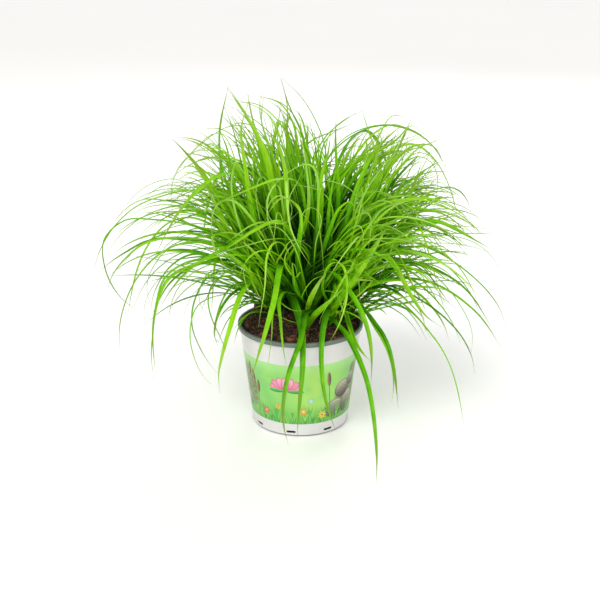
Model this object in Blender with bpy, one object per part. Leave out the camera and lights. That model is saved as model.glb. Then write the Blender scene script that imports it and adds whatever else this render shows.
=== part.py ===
"""Potted umbrella sedge, sold young as a tufted foliage plant.

A tapered nursery pot with a printed sleeve, its root ball, thirteen shoots and
forty-two outer leaves.  Tables are in millimetres; the scene is in metres, +Z up,
with the origin at the centre of the pot's underside and the front towards -Y.

Blades are laid out on a front elevation: a drawing of the plant as it is seen
from 1.1 m away and 20 degrees above.  A row gives points on that drawing, and how
far forward or back the tip reaches; lay_out() turns them into a curve in space.
"""

import math

import bmesh
import bpy
import numpy as np
from mathutils import Vector
from mathutils.bvhtree import BVHTree

MM = 0.001

# ---------------------------------------------------------------- pot, in mm
POT_HEIGHT = 100.0
POT_RIM_RADIUS = 60.0
POT_TOP_WALL_RADIUS = 57.3
POT_FOOT_RADIUS = 45.5
POT_WALL = 1.3
POT_FLOOR = 1.8
LIP_HEIGHT = 4.0
POT_SIDES = 48

DRAIN_COUNT = 8
DRAIN_WIDTH = 9.0
DRAIN_LOW, DRAIN_HIGH = 3.3, 5.8
DRAIN_FIRST_ANGLE = math.radians(-101.0)

SLEEVE_GAP = 0.3
SLEEVE_THICKNESS = 0.45
SLEEVE_LOW, SLEEVE_HIGH = 1.2, 95.2
SLEEVE_SIDES = 48

SOIL_GAP = 0.5
SOIL_SIDES = 36
SOIL_RINGS = 6

# ------------------------------------------------------------- the elevation
VIEW_DISTANCE = 1100.0
VIEW_PITCH = math.radians(19.9)
VIEW_SCALE = 1155.0
VIEW_AIM_Z = 121.0
VIEW_SHIFT = 0.4
VIEW_CENTRE = 300.0

# --------------------------------------------------------------- blade stock
BLADE_FOLD = 0.19  # depth of the keel as a share of the width
BASE_WIDTH = 2.6
TIP_WIDTH = 0.8
LEAF_SPANS = 11
INNER_SPANS = 9
SHEATH_HEIGHT = 20.0
SHEATH_RADIUS = 3.0
SHEATH_SIDES = 6
LEAF_STANDOFFS = (5.4, 7.0, 8.8)  # leaf base to shoot axis
FLOOR_CLEARANCE = 1.0

# Shoot: place on the soil (x, y) and lean at the base (x, y, as slopes).
SHOOTS = [
    (24, -3, 0.25, -0.10),
    (10, 30, 0.12, 0.10),
    (-26, 28, -0.35, 0.02),
    (6, 3, -0.05, -0.12),
    (43, 22, 0.40, 0.05),
    (-23, 44, -0.35, 0.25),
    (-9, 35, -0.12, 0.10),
    (27, 34, 0.25, 0.20),
    (12, 16, 0.02, 0.00),
    (-4, 49, -0.05, 0.35),
    (37, 5, 0.35, -0.15),
    (17, 47, 0.12, 0.30),
    (30, 18, 0.25, 0.00),
]

# Inner blade: shoot, tip's y, width, points on the elevation from low to tip.
INNER = [
    (0, -30, 7.0, [(334, 299), (350, 272), (368, 250), (385, 232), (398, 214), (409, 199), (415, 186), (421, 163)]),
    (0, 10, 5.0, [(332, 298), (345, 265), (357, 235), (372, 205), (390, 178), (410, 155), (425, 143), (442, 139)]),
    (0, -60, 5.0, [(330, 296), (338, 262), (346, 225), (356, 190), (367, 165), (378, 146), (390, 135), (400, 126)]),
    (0, -80, 4.5, [(328, 298), (330, 262), (328, 225), (331, 190), (337, 165), (345, 150), (352, 141), (360, 136), (369, 147)]),
    (1, 60, 5.5, [(312, 294), (322, 276), (335, 255), (350, 234), (370, 217), (390, 208), (408, 206), (425, 210)]),
    (1, 20, 5.0, [(308, 288), (308, 255), (309, 220), (309, 190), (307, 160), (303, 137), (297, 122), (290, 108), (285, 95), (281, 79)]),
    (1, 70, 3.5, [(305, 290), (297, 258), (290, 228), (288, 198), (285, 165), (286, 142), (287, 122), (291, 104)]),
    (1, 100, 4.0, [(313, 290), (325, 255), (336, 218), (348, 188), (364, 167), (386, 152), (405, 151), (420, 158)]),
    (2, 0, 4.5, [(267, 290), (255, 256), (243, 220), (234, 185), (229, 160), (226, 143), (219, 129)]),
    (2, -50, 4.5, [(269, 286), (260, 245), (250, 205), (246, 172), (243, 148), (241, 128), (249, 104)]),
    (2, 40, 5.0, [(265, 288), (247, 255), (228, 218), (213, 190), (200, 172), (186, 162), (176, 168)]),
    (2, 20, 3.5, [(266, 288), (250, 243), (234, 206), (224, 178), (219, 155), (219, 132), (223, 108), (228, 88)]),
    (3, -90, 4.5, [(303, 300), (298, 270), (299, 242), (302, 222), (298, 205), (288, 196), (275, 200), (266, 215)]),
    (3, -50, 4.5, [(306, 300), (312, 262), (318, 225), (320, 195), (323, 168), (329, 152), (331, 131)]),
    (3, -20, 4.0, [(301, 300), (292, 268), (280, 240), (264, 215), (246, 200), (226, 198), (209, 206)]),
    (3, -70, 4.0, [(308, 300), (318, 268), (326, 240), (336, 214), (348, 198), (356, 205), (357, 222)]),
    (4, 60, 4.5, [(352, 284), (366, 262), (384, 244), (404, 230), (424, 222), (446, 224), (470, 230)]),
    (4, 10, 4.5, [(353, 286), (372, 256), (394, 230), (414, 213), (432, 211), (447, 215), (459, 225), (468, 237)]),
    (4, 90, 4.0, [(348, 280), (359, 250), (376, 215), (395, 190), (415, 176), (432, 171), (450, 172)]),
    (4, 50, 4.5, [(347, 280), (353, 245), (366, 205), (386, 172), (406, 150), (421, 141), (433, 143), (441, 155), (446, 167)]),
    (5, 110, 4.0, [(270, 285), (253, 250), (232, 226), (208, 214), (186, 210), (166, 216), (154, 228)]),
    (5, 60, 4.0, [(272, 280), (259, 235), (248, 195), (240, 160), (234, 132), (224, 107)]),
    (5, 90, 4.0, [(268, 285), (247, 245), (225, 208), (207, 187), (192, 177), (178, 178)]),
    (5, 120, 3.5, [(274, 282), (264, 235), (256, 190), (254, 162), (254, 145), (253, 127)]),
    (6, -20, 6.5, [(286, 284), (280, 240), (274, 200), (269, 165), (260, 142), (250, 122), (239, 105), (228, 88)]),
    (6, 30, 4.5, [(289, 280), (285, 240), (278, 200), (270, 160), (266, 138), (260, 118), (261, 103), (264, 95)]),
    (6, 80, 4.0, [(283, 285), (271, 245), (264, 205), (262, 168), (258, 140), (252, 118), (248, 95)]),
    (6, -60, 5.0, [(287, 282), (284, 240), (287, 200), (285, 168), (279, 146), (270, 132), (258, 127)]),
    (7, 40, 4.5, [(329, 288), (338, 255), (353, 220), (368, 190), (378, 162), (372, 140), (366, 124), (362, 111)]),
    (7, 80, 4.5, [(331, 285), (347, 245), (370, 205), (391, 165), (401, 143), (411, 120)]),
    (7, 120, 4.0, [(327, 288), (333, 255), (340, 215), (348, 180), (362, 155), (384, 142), (404, 140)]),
    (7, 20, 4.5, [(333, 285), (352, 250), (376, 225), (400, 205), (420, 194), (440, 191), (460, 194)]),
    (8, -30, 5.5, [(313, 298), (320, 268), (321, 240), (318, 215), (318, 190), (323, 165), (334, 150)]),
    (8, -20, 5.0, [(310, 296), (314, 262), (313, 225), (311, 190), (309, 168), (305, 150), (297, 134)]),
    (8, -70, 6.0, [(311, 296), (309, 255), (306, 215), (300, 180), (285, 176), (268, 184), (250, 188), (230, 198), (208, 207)]),
    (8, -60, 4.5, [(315, 296), (324, 262), (337, 228), (354, 200), (375, 191), (394, 198), (406, 210), (413, 222)]),
    (9, 80, 3.2, [(296, 284), (292, 240), (293, 200), (297, 160), (294, 126), (287, 107), (273, 99), (255, 95)]),
    (9, 130, 3.5, [(292, 284), (286, 238), (281, 192), (272, 153), (262, 132), (249, 122), (234, 123), (222, 129)]),
    (9, 110, 4.0, [(297, 280), (301, 240), (307, 200), (313, 165), (320, 144), (331, 131), (345, 120), (362, 110)]),
    (9, 150, 3.5, [(294, 282), (283, 240), (271, 205), (261, 172), (252, 150), (242, 134), (225, 120)]),
    (10, -20, 4.5, [(347, 298), (360, 279), (377, 267), (396, 262), (416, 264), (434, 270), (449, 282)]),
    (10, -60, 4.5, [(344, 298), (353, 268), (369, 238), (391, 220), (412, 213), (428, 218), (438, 230)]),
    (10, 30, 4.0, [(342, 298), (348, 262), (361, 230), (379, 207), (400, 194), (420, 191), (436, 196)]),
    (10, -90, 4.0, [(345, 298), (358, 272), (374, 256), (388, 256), (398, 268), (404, 286), (408, 304)]),
    (11, 130, 3.5, [(318, 285), (318, 245), (318, 205), (323, 168), (331, 153), (343, 141), (356, 133), (370, 127), (386, 124), (400, 126), (413, 131), (425, 138), (437, 149), (446, 167)]),
    (11, 70, 3.0, [(316, 283), (321, 240), (326, 195), (327, 160), (323, 137), (316, 120), (308, 105), (298, 92), (283, 79)]),
    (11, 150, 4.0, [(321, 283), (336, 240), (353, 200), (368, 165), (377, 142), (382, 127), (390, 115), (398, 112), (408, 118)]),
    (11, 170, 4.0, [(314, 283), (309, 240), (301, 200), (293, 172), (299, 150), (320, 137), (352, 124)]),
    (12, 60, 5.0, [(334, 290), (341, 255), (354, 220), (370, 190), (388, 166), (402, 151), (418, 146)]),
    (12, -10, 4.5, [(336, 288), (352, 255), (374, 229), (399, 215), (425, 205), (445, 197), (456, 194)]),
    (12, 20, 4.5, [(338, 287), (357, 263), (381, 251), (405, 247), (430, 246), (447, 246)]),
    (12, -40, 4.0, [(333, 290), (336, 255), (338, 215), (338, 180), (336, 150), (337, 117)]),
]

# Outer leaf: shoot, tip's y, width, how early it comes forward, points.
OUTER = [
    (5, -15, 4.5, 1.0, [(240, 215), (225, 194), (200, 189), (180, 191), (165, 195), (150, 199), (135, 206), (122, 216), (112, 228), (104, 240), (97, 255), (92, 277)]),
    (2, -50, 4.0, 1.0, [(250, 255), (228, 238), (200, 228), (178, 221), (150, 219), (125, 218), (113, 222), (105, 230), (102, 243), (103, 260), (106, 274), (113, 288), (124, 302), (141, 313)]),
    (5, 40, 4.0, 1.0, [(250, 262), (228, 247), (205, 241), (180, 240), (165, 238), (150, 240), (138, 245), (125, 253), (110, 262), (95, 275)]),
    (2, -30, 5.0, 1.0, [(248, 262), (225, 246), (200, 239), (180, 237), (155, 239), (140, 245), (128, 256), (118, 266), (110, 279), (106, 294)]),
    (2, -45, 5.0, 1.0, [(250, 268), (228, 250), (205, 242), (185, 242), (170, 246), (160, 252), (150, 261), (140, 271), (133, 283), (127, 295), (122, 308), (119, 322), (118, 337), (120, 354)]),
    (2, -70, 5.0, 1.0, [(262, 250), (252, 205), (243, 178), (230, 170), (215, 177), (200, 188), (188, 199), (178, 213), (168, 229), (161, 243), (154, 258)]),
    (6, 60, 5.5, 1.0, [(268, 275), (245, 245), (225, 212), (207, 183), (196, 164), (186, 153), (172, 139)]),
    (2, -60, 5.5, 1.0, [(250, 272), (233, 257), (215, 255), (200, 258), (186, 262), (172, 268), (164, 276), (159, 289), (156, 303), (154, 319), (153, 336), (151, 350), (151, 363), (154, 378)]),
    (6, -85, 6.5, 1.0, [(292, 255), (292, 228), (280, 219), (264, 225), (250, 233), (232, 245), (215, 254), (200, 262), (185, 273), (174, 286), (165, 298), (158, 312)]),
    (5, 10, 3.5, 1.0, [(252, 275), (232, 260), (210, 261), (192, 267), (178, 275), (168, 285), (161, 296), (155, 312)]),
    (5, -40, 3.2, 1.0, [(258, 282), (240, 272), (224, 270), (212, 273), (204, 280), (198, 292), (193, 305), (191, 325), (197, 343), (207, 361), (217, 373)]),
    (2, -62, 6.5, 1.0, [(257, 276), (248, 285), (240, 297), (235, 311), (231, 326), (226, 342), (221, 362), (218, 378), (220, 393)]),
    (5, -20, 3.0, 1.0, [(256, 284), (240, 288), (229, 296), (221, 308), (216, 321), (214, 335), (218, 346)]),
    (6, -90, 6.2, 1.6, [(288, 272), (282, 260), (279, 272), (276, 292), (272, 310), (267, 326), (262, 345), (256, 362), (252, 378)]),
    (6, -82, 7.0, 1.8, [(282, 286), (287, 290), (294, 303), (299, 318), (302, 334), (303, 352), (302, 380), (299, 408), (297, 437)]),
    (3, -76, 5.0, 1.8, [(305, 312), (303, 322), (302, 334), (298, 348), (292, 362), (287, 380), (283, 405), (284, 430), (288, 444)]),
    (0, -80, 5.2, 1.8, [(328, 308), (323, 326), (321, 350), (322, 376), (325, 398), (330, 416), (335, 430)]),
    (0, -150, 4.8, 1.3, [(324, 316), (337, 323), (349, 338), (358, 356), (366, 375), (371, 396), (374, 416), (376, 440), (377, 465), (376, 484)]),
    (8, -78, 6.2, 1.4, [(314, 282), (323, 270), (334, 273), (345, 285), (355, 300), (363, 315), (369, 335), (372, 355), (371, 385)]),
    (4, -60, 4.0, 1.0, [(356, 298), (366, 312), (375, 328), (384, 343), (390, 358), (393, 372), (394, 386), (392, 402)]),
    (10, -88, 4.0, 1.3, [(354, 302), (364, 309), (373, 320), (381, 330), (388, 343), (392, 357), (395, 375), (397, 395), (398, 408)]),
    (12, -60, 6.0, 1.0, [(344, 278), (356, 258), (369, 248), (381, 250), (391, 260), (399, 272), (405, 285), (412, 298), (420, 310), (429, 320), (441, 327)]),
    (4, -35, 5.0, 1.0, [(358, 292), (372, 290), (387, 291), (398, 294), (408, 301), (416, 310), (424, 319)]),
    (4, -15, 5.0, 1.0, [(362, 284), (380, 280), (398, 278), (415, 279), (428, 281), (440, 287), (452, 293), (464, 302), (477, 313), (488, 326), (500, 346)]),
    (7, 25, 4.0, 1.0, [(345, 278), (370, 262), (398, 260), (420, 263), (432, 268), (445, 274), (455, 280), (465, 288), (475, 300), (485, 316), (493, 331)]),
    (11, 35, 3.6, 1.0, [(340, 272), (365, 248), (390, 240), (410, 242), (430, 248), (447, 257), (458, 265), (468, 272), (480, 283), (491, 294), (499, 305), (504, 316), (507, 331)]),
    (7, 65, 4.5, 1.0, [(348, 272), (372, 252), (398, 240), (412, 236), (430, 234), (450, 233), (470, 233), (490, 233), (502, 234)]),
    (12, -25, 6.0, 1.0, [(350, 268), (375, 240), (400, 227), (418, 222), (435, 220), (450, 226), (460, 231), (468, 237), (483, 244), (496, 252)]),
    (11, 95, 3.5, 1.0, [(345, 265), (368, 235), (390, 217), (410, 211), (430, 209), (445, 209), (460, 210), (471, 212), (480, 219), (489, 229)]),
    (10, -50, 4.0, 1.0, [(352, 298), (366, 290), (381, 291), (396, 298), (412, 311), (428, 330), (443, 350), (452, 370), (459, 395), (464, 424)]),
    (4, 0, 3.5, 1.0, [(360, 294), (384, 286), (406, 287), (418, 293), (427, 302), (435, 311), (441, 320), (446, 330), (449, 341)]),
    (12, -20, 3.2, 1.0, [(350, 288), (375, 283), (400, 289), (418, 298), (430, 306), (441, 314), (448, 321), (457, 330), (465, 342), (471, 353), (475, 374)]),
    (10, -45, 3.6, 1.0, [(352, 304), (366, 301), (385, 301), (400, 305), (412, 312), (420, 320), (426, 328)]),
    (10, -62, 4.5, 1.2, [(345, 312), (349, 325), (354, 339), (361, 351), (371, 362)]),
]

# Far side leaf: shoot, heading in degrees (90 is straight back), reach from the
# shoot, height of the arch, height of the tip, width.
FAR = [
    (9, 100, 205, 262, 150, 5.0),
    (11, 62, 195, 255, 165, 5.0),
    (5, 128, 210, 230, 95, 5.5),
    (7, 40, 190, 250, 140, 5.0),
    (6, 112, 150, 200, 40, 6.0),
    (1, 80, 160, 190, 60, 6.0),
    (9, 85, 120, 160, 14, 5.5),
    (5, 155, 170, 180, 60, 5.0),
]


# ------------------------------------------------------------------ geometry
def soil_top(x, y):
    """Height of the root ball's surface: nearly flush, with a crumbly mound at the back left."""
    r = math.hypot(x, y)
    z = 95.8
    z += 3.0 * math.exp(-((x - 8) ** 2 / 34.0**2 + (y - 22) ** 2 / 26.0**2))
    z += 13.0 * math.exp(-((x + 38) ** 2 / 15.0**2 + (y - 27) ** 2 / 17.0**2))
    z += 0.7 * math.sin(0.31 * x + 0.8) * math.sin(0.37 * y - 0.5)
    fade = min(1.0, max(0.0, (57.5 - r) / 9.0))
    return 94.8 + (z - 94.8) * (0.25 + 0.75 * fade)


def sight(u, v, y):
    """The point at depth y that lies on (u, v) of the elevation."""
    c, s = math.cos(VIEW_PITCH), math.sin(VIEW_PITCH)
    right = (u - VIEW_CENTRE) / VIEW_SCALE
    up = -(v - VIEW_CENTRE) / VIEW_SCALE
    ray = np.array([right, c + up * s, -s + up * c])
    eye = np.array([0.0, -VIEW_DISTANCE * c, VIEW_AIM_Z + VIEW_DISTANCE * s])
    point = eye + ray * ((y - eye[1]) / ray[1])
    point[0] -= VIEW_SHIFT
    return point


def drawn_at(p):
    """Where a point in space falls on the elevation."""
    c, s = math.cos(VIEW_PITCH), math.sin(VIEW_PITCH)
    up = p[1] * s + (p[2] - VIEW_AIM_Z) * c
    depth = VIEW_DISTANCE + p[1] * c - (p[2] - VIEW_AIM_Z) * s
    return np.array([
        VIEW_CENTRE + VIEW_SCALE * (p[0] + VIEW_SHIFT) / depth,
        VIEW_CENTRE - VIEW_SCALE * up / depth,
    ])


def smooth_curve(points, spans):
    """A curve through the points, eased a little and cut into equal lengths."""
    pts = np.array(points, float)
    knots = np.concatenate([[0], np.cumsum(np.sqrt(np.linalg.norm(np.diff(pts, axis=0), axis=1)) + 1e-6)])
    ext = np.vstack([2 * pts[0] - pts[1], pts, 2 * pts[-1] - pts[-2]])
    k = np.concatenate([[knots[0] - (knots[1] - knots[0])], knots, [knots[-1] + knots[-1] - knots[-2]]])
    fine = []
    for i in range(1, len(ext) - 2):
        for t in np.linspace(k[i], k[i + 1], 14, endpoint=False):
            a1 = ext[i - 1] + (ext[i] - ext[i - 1]) * (t - k[i - 1]) / (k[i] - k[i - 1])
            a2 = ext[i] + (ext[i + 1] - ext[i]) * (t - k[i]) / (k[i + 1] - k[i])
            a3 = ext[i + 1] + (ext[i + 2] - ext[i + 1]) * (t - k[i + 1]) / (k[i + 2] - k[i + 1])
            b1 = a1 + (a2 - a1) * (t - k[i - 1]) / (k[i + 1] - k[i - 1])
            b2 = a2 + (a3 - a2) * (t - k[i]) / (k[i + 2] - k[i])
            fine.append(b1 + (b2 - b1) * (t - k[i]) / (k[i + 1] - k[i]))
    fine.append(pts[-1])
    fine = resample(np.array(fine), 96)
    for _ in range(24):
        fine[1:-1] += 0.5 * (0.5 * (fine[:-2] + fine[2:]) - fine[1:-1])
    return resample(fine, spans)


def resample(curve, spans):
    lengths = np.concatenate([[0], np.cumsum(np.linalg.norm(np.diff(curve, axis=0), axis=1))])
    at = np.linspace(0, lengths[-1], spans + 1)
    return np.stack([np.interp(at, lengths, curve[:, i]) for i in range(3)], axis=1)


def lay_out(base, lean, points, tip_y, early, spans, rise):
    """A blade's centre line: up along its shoot, then through the drawn points."""
    start = np.array(base, float)
    first = start + rise * np.array([lean[0], lean[1], 1.0]) / math.sqrt(1 + lean[0] ** 2 + lean[1] ** 2)
    drawn = [drawn_at(start)] + [np.array(p, float) for p in points]
    run = np.concatenate([[0], np.cumsum([np.linalg.norm(b - a) for a, b in zip(drawn, drawn[1:])])])
    run /= run[-1]
    aside = drawn[-1][0] - drawn[0][0]
    planar = min(1.0, max(0.0, (abs(aside) - 40.0) / 60.0))
    route = [start, first]
    for t, p in list(zip(run, drawn))[1:]:
        ahead = 1 - (1 - t) ** early if early > 1 else 0.5 * t + 0.5 * t * t * (3 - 2 * t)
        across = (p[0] - drawn[0][0]) / aside if planar else 0.0
        share = planar * (0.75 * across + 0.25 * t) + (1 - planar) * ahead
        route.append(sight(p[0], p[1], start[1] + (tip_y - start[1]) * share))
    return smooth_curve(route, spans)


def arch(base, lean, heading, reach, top, tip, spans, rise):
    """A blade's centre line for the far side: rises, arches over and droops."""
    start = np.array(base, float)
    first = start + rise * np.array([lean[0], lean[1], 1.0]) / math.sqrt(1 + lean[0] ** 2 + lean[1] ** 2)
    out = np.array([math.cos(heading), math.sin(heading), 0.0])
    route = [start, first]
    for share, height in ((0.16, 0.66), (0.36, 0.93), (0.58, 1.0)):
        route.append(start + out * reach * share + np.array([0, 0, (top - start[2]) * height]))
    drop = top - tip
    for share, height in ((0.78, 0.22), (0.92, 0.58), (1.0, 1.0)):
        route.append(np.array([start[0], start[1], 0]) + out * reach * share + np.array([0, 0, top - drop * height]))
    return smooth_curve(route, spans)


def width_at(t, width):
    """Narrow at the sheath, widest a third of the way up, drawn out to a fine tip."""
    grow = min(1.0, t / 0.28)
    grow = grow * grow * (3 - 2 * grow)
    taper = 1.0 if t < 0.45 else 1 - ((t - 0.45) / 0.55) ** 2.2
    return max(TIP_WIDTH, (BASE_WIDTH + (width - BASE_WIDTH) * grow) * taper)


def blade_mesh(curve, width, turn):
    """A keeled strap along the curve: two free edges and a midrib under them."""
    n = len(curve)
    tangents = np.gradient(curve, axis=0)
    tangents /= np.linalg.norm(tangents, axis=1)[:, None]
    out = curve[-1] - curve[0]
    out[2] = 0
    if np.linalg.norm(out) < 8:
        out = np.array([0.0, -1.0, 0.0])
    out /= np.linalg.norm(out)
    side = np.cross([0, 0, 1.0], out)
    bm = bmesh.new()
    rings = []
    for i in range(n):
        t = i / (n - 1)
        along = tangents[i]
        across = side - along * np.dot(side, along)
        across /= np.linalg.norm(across)
        face = np.cross(along, across)
        a = turn * t
        across, face = (
            across * math.cos(a) + face * math.sin(a),
            face * math.cos(a) - across * math.sin(a),
        )
        w = width_at(t, width)
        keel = max(0.3, BLADE_FOLD * w)
        corners = (
            curve[i] - across * w / 2 + face * keel / 2,
            curve[i] - face * keel / 2,
            curve[i] + across * w / 2 + face * keel / 2,
        )
        rings.append([bm.verts.new(Vector(c * MM)) for c in corners])
    for low, high in zip(rings, rings[1:]):
        for j in range(3):
            bm.faces.new((low[j], low[(j + 1) % 3], high[(j + 1) % 3], high[j]))
    bm.faces.new(rings[0])
    bm.faces.new(rings[-1])
    bmesh.ops.recalc_face_normals(bm, faces=bm.faces)
    bmesh.ops.triangulate(bm, faces=bm.faces)
    return bm


def material(name, colour, roughness, metallic=0.0):
    made = bpy.data.materials.new(name)
    made.use_nodes = True
    shader = made.node_tree.nodes["Principled BSDF"]
    shader.inputs["Base Color"].default_value = (*colour, 1)
    shader.inputs["Roughness"].default_value = roughness
    shader.inputs["Metallic"].default_value = metallic
    made.diffuse_color = (*colour, 1)
    return made


def add_object(name, mesh, mat, parent=None, origin=None):
    obj = bpy.data.objects.new(name, mesh)
    bpy.context.scene.collection.objects.link(obj)
    if mat is not None:
        mesh.materials.append(mat)
    if origin is not None:
        at = Vector((origin[0] * MM, origin[1] * MM, origin[2] * MM))
        for vertex in mesh.vertices:
            vertex.co -= at
        obj.location = at
    if parent is not None:
        obj.parent = parent
    return obj


def mesh_from(bm, name):
    mesh = bpy.data.meshes.new(name)
    bm.to_mesh(mesh)
    bm.free()
    return mesh


def turned(name, profile, sides, closed, mat, parent):
    """A profile in the XZ plane, spun about Z by a Screw."""
    mesh = bpy.data.meshes.new(name)
    verts = [(r * MM, 0, z * MM) for r, z in profile]
    edges = [(i, i + 1) for i in range(len(verts) - 1)]
    if closed:
        edges.append((len(verts) - 1, 0))
    mesh.from_pydata(verts, edges, [])
    obj = add_object(name, mesh, mat, parent)
    spin = obj.modifiers.new("spin", "SCREW")
    spin.axis = "Z"
    spin.steps = spin.render_steps = sides
    spin.use_merge_vertices = True
    spin.merge_threshold = 0.00005
    spin.use_smooth_shade = True
    return obj


def helper(obj):
    obj.hide_render = True
    obj.display_type = "WIRE"
    return obj


def boolean(obj, other, operation):
    step = obj.modifiers.new(other.name, "BOOLEAN")
    step.operation = operation
    step.solver = "EXACT"
    step.object = other
    return step


def wall_radius(z):
    return POT_FOOT_RADIUS + (POT_TOP_WALL_RADIUS - POT_FOOT_RADIUS) * (z - 1.0) / (POT_HEIGHT - LIP_HEIGHT - 1.0)


# --------------------------------------------------------------- pot and soil
def build_pot(root):
    top = POT_HEIGHT
    lip_low = top - LIP_HEIGHT
    inner_low = wall_radius(POT_FLOOR) - POT_WALL
    profile = [
        (0, POT_FLOOR),
        (inner_low - 1.2, POT_FLOOR),
        (inner_low, POT_FLOOR + 1.0),
        (wall_radius(lip_low) - POT_WALL, lip_low),
        (POT_TOP_WALL_RADIUS - POT_WALL + 0.6, top - 0.6),
        (POT_TOP_WALL_RADIUS - POT_WALL + 1.2, top),
        (POT_RIM_RADIUS - 0.5, top),
        (POT_RIM_RADIUS, top - 0.6),
        (POT_RIM_RADIUS - 0.1, lip_low),
        (wall_radius(lip_low), lip_low),
        (POT_FOOT_RADIUS, 1.0),
        (POT_FOOT_RADIUS - 1.0, 0.0),
        (0, 0.0),
    ]
    pot = turned("pot", profile, POT_SIDES, False, material("pot", (0.27, 0.30, 0.29), 0.45), root)
    cutter = bmesh.new()
    for i in range(DRAIN_COUNT):
        a = DRAIN_FIRST_ANGLE + i * 2 * math.pi / DRAIN_COUNT
        out = Vector((math.cos(a), math.sin(a), 0))
        side = Vector((-math.sin(a), math.cos(a), 0))
        box = bmesh.ops.create_cube(cutter, size=1.0)["verts"]
        for vertex in box:
            p = vertex.co.copy()
            vertex.co = (
                out * (POT_FOOT_RADIUS + p.x * 8.0)
                + side * (p.y * DRAIN_WIDTH)
                + Vector((0, 0, DRAIN_LOW + (p.z + 0.5) * (DRAIN_HIGH - DRAIN_LOW)))
            ) * MM
    bmesh.ops.recalc_face_normals(cutter, faces=cutter.faces)
    slots = helper(add_object("drain_cutter", mesh_from(cutter, "drain_cutter"), None, root))
    boolean(pot, slots, "DIFFERENCE")

    inner, outer = SLEEVE_GAP, SLEEVE_GAP + SLEEVE_THICKNESS
    profile = [
        (wall_radius(SLEEVE_LOW) + inner, SLEEVE_LOW),
        (wall_radius(SLEEVE_HIGH) + inner, SLEEVE_HIGH),
        (wall_radius(SLEEVE_HIGH) + outer, SLEEVE_HIGH),
        (wall_radius(SLEEVE_LOW) + outer, SLEEVE_LOW),
    ]
    sleeve = turned("printed_sleeve", profile, SLEEVE_SIDES, True, material("printed_sleeve", (0.20, 0.62, 0.12), 0.35), root)
    boolean(sleeve, slots, "DIFFERENCE")
    return pot, sleeve


def build_soil(root):
    floor_z = POT_FLOOR + SOIL_GAP
    low_r = wall_radius(POT_FLOOR) - POT_WALL - SOIL_GAP - 1.6
    wall_r = lambda z: wall_radius(z) - POT_WALL - SOIL_GAP - 0.2
    bm = bmesh.new()

    def ring(radius, z=None):
        verts = []
        for i in range(SOIL_SIDES):
            a = 2 * math.pi * i / SOIL_SIDES
            x, y = radius * math.cos(a), radius * math.sin(a)
            verts.append(bm.verts.new((x * MM, y * MM, (soil_top(x, y) if z is None else z) * MM)))
        return verts

    loops = [ring(low_r, floor_z), ring(wall_r(floor_z + 2.5), floor_z + 2.5)]
    edge = wall_r(94.0)
    for i in range(SOIL_RINGS):
        loops.append(ring(edge * (1 - (i / SOIL_RINGS) ** 1.1)))
    for low, high in zip(loops, loops[1:]):
        for i in range(SOIL_SIDES):
            j = (i + 1) % SOIL_SIDES
            bm.faces.new((low[i], low[j], high[j], high[i]))
    bottom = bm.verts.new((0, 0, floor_z * MM))
    crown = bm.verts.new((0, 0, soil_top(0, 0) * MM))
    for i in range(SOIL_SIDES):
        j = (i + 1) % SOIL_SIDES
        bm.faces.new((loops[0][j], loops[0][i], bottom))
        bm.faces.new((loops[-1][i], loops[-1][j], crown))
    bmesh.ops.recalc_face_normals(bm, faces=bm.faces)
    bmesh.ops.triangulate(bm, faces=bm.faces)
    return add_object("root_ball", mesh_from(bm, "root_ball"), material("root_ball", (0.055, 0.027, 0.018), 0.95), root)


# -------------------------------------------------------------------- shoots
def shoot_base(index):
    x, y, _, _ = SHOOTS[index]
    reach = SHEATH_RADIUS + 0.4
    high = max(
        soil_top(x + dx * reach, y + dy * reach)
        for dx, dy in [(0, 0)] + [(math.cos(a), math.sin(a)) for a in np.linspace(0, 2 * math.pi, 12)]
    )
    return np.array([x, y, high + 0.5])


def sheath_mesh(index):
    """The shoot's clasped leaf bases: a short leaning stem, slightly bulged low down."""
    base = shoot_base(index)
    lean = np.array([SHOOTS[index][2], SHOOTS[index][3], 1.0])
    bm = bmesh.new()
    loops = []
    for share, radius in ((0, 0.9), (0.25, 1.0), (0.65, 0.85), (1.0, 0.72)):
        at = base + lean * SHEATH_HEIGHT * share
        loops.append([
            bm.verts.new(Vector((at + SHEATH_RADIUS * radius * np.array([math.cos(a), math.sin(a), 0])) * MM))
            for a in (2 * math.pi * (i + 0.3 * index) / SHEATH_SIDES for i in range(SHEATH_SIDES))
        ])
    for low, high in zip(loops, loops[1:]):
        for i in range(SHEATH_SIDES):
            j = (i + 1) % SHEATH_SIDES
            bm.faces.new((low[i], low[j], high[j], high[i]))
    bm.faces.new(loops[0])
    bm.faces.new(loops[-1])
    bmesh.ops.recalc_face_normals(bm, faces=bm.faces)
    bmesh.ops.triangulate(bm, faces=bm.faces)
    return bm


def world_tree(bm):
    return BVHTree.FromBMesh(bm, epsilon=0.0)


class Clearance:
    """Keeps every blade clear of what is already placed."""

    def __init__(self):
        self.trees = []

    def add(self, owner, tree):
        self.trees.append((owner, tree))

    def blocked(self, owner, tree):
        for other, placed in self.trees:
            if other != owner and tree.overlap(placed):
                return True
        return False


def grown(bm, amount):
    """The mesh pushed outwards, to test for a gap and not only for contact."""
    fat = bm.copy()
    fat.normal_update()
    for vertex in fat.verts:
        vertex.co = vertex.co + vertex.normal * amount * MM
    tree = world_tree(fat)
    fat.free()
    return tree


# Places to try for a leaf's base, from the side it bends to round to the other.
PLACES = [
    (standoff, swing)
    for standoff in LEAF_STANDOFFS
    for swing in (0.0, 0.5, -0.5, 1.0, -1.0, 1.5, -1.5, 2.1, -2.1, 2.7, -2.7)
]
TRIES = [(0, 0)] + [(d, a) for k in range(1, 13) for d, a in ((6 * k, 0), (-6 * k, 0), (6 * k, 0.5), (-6 * k, -0.5))]


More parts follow.
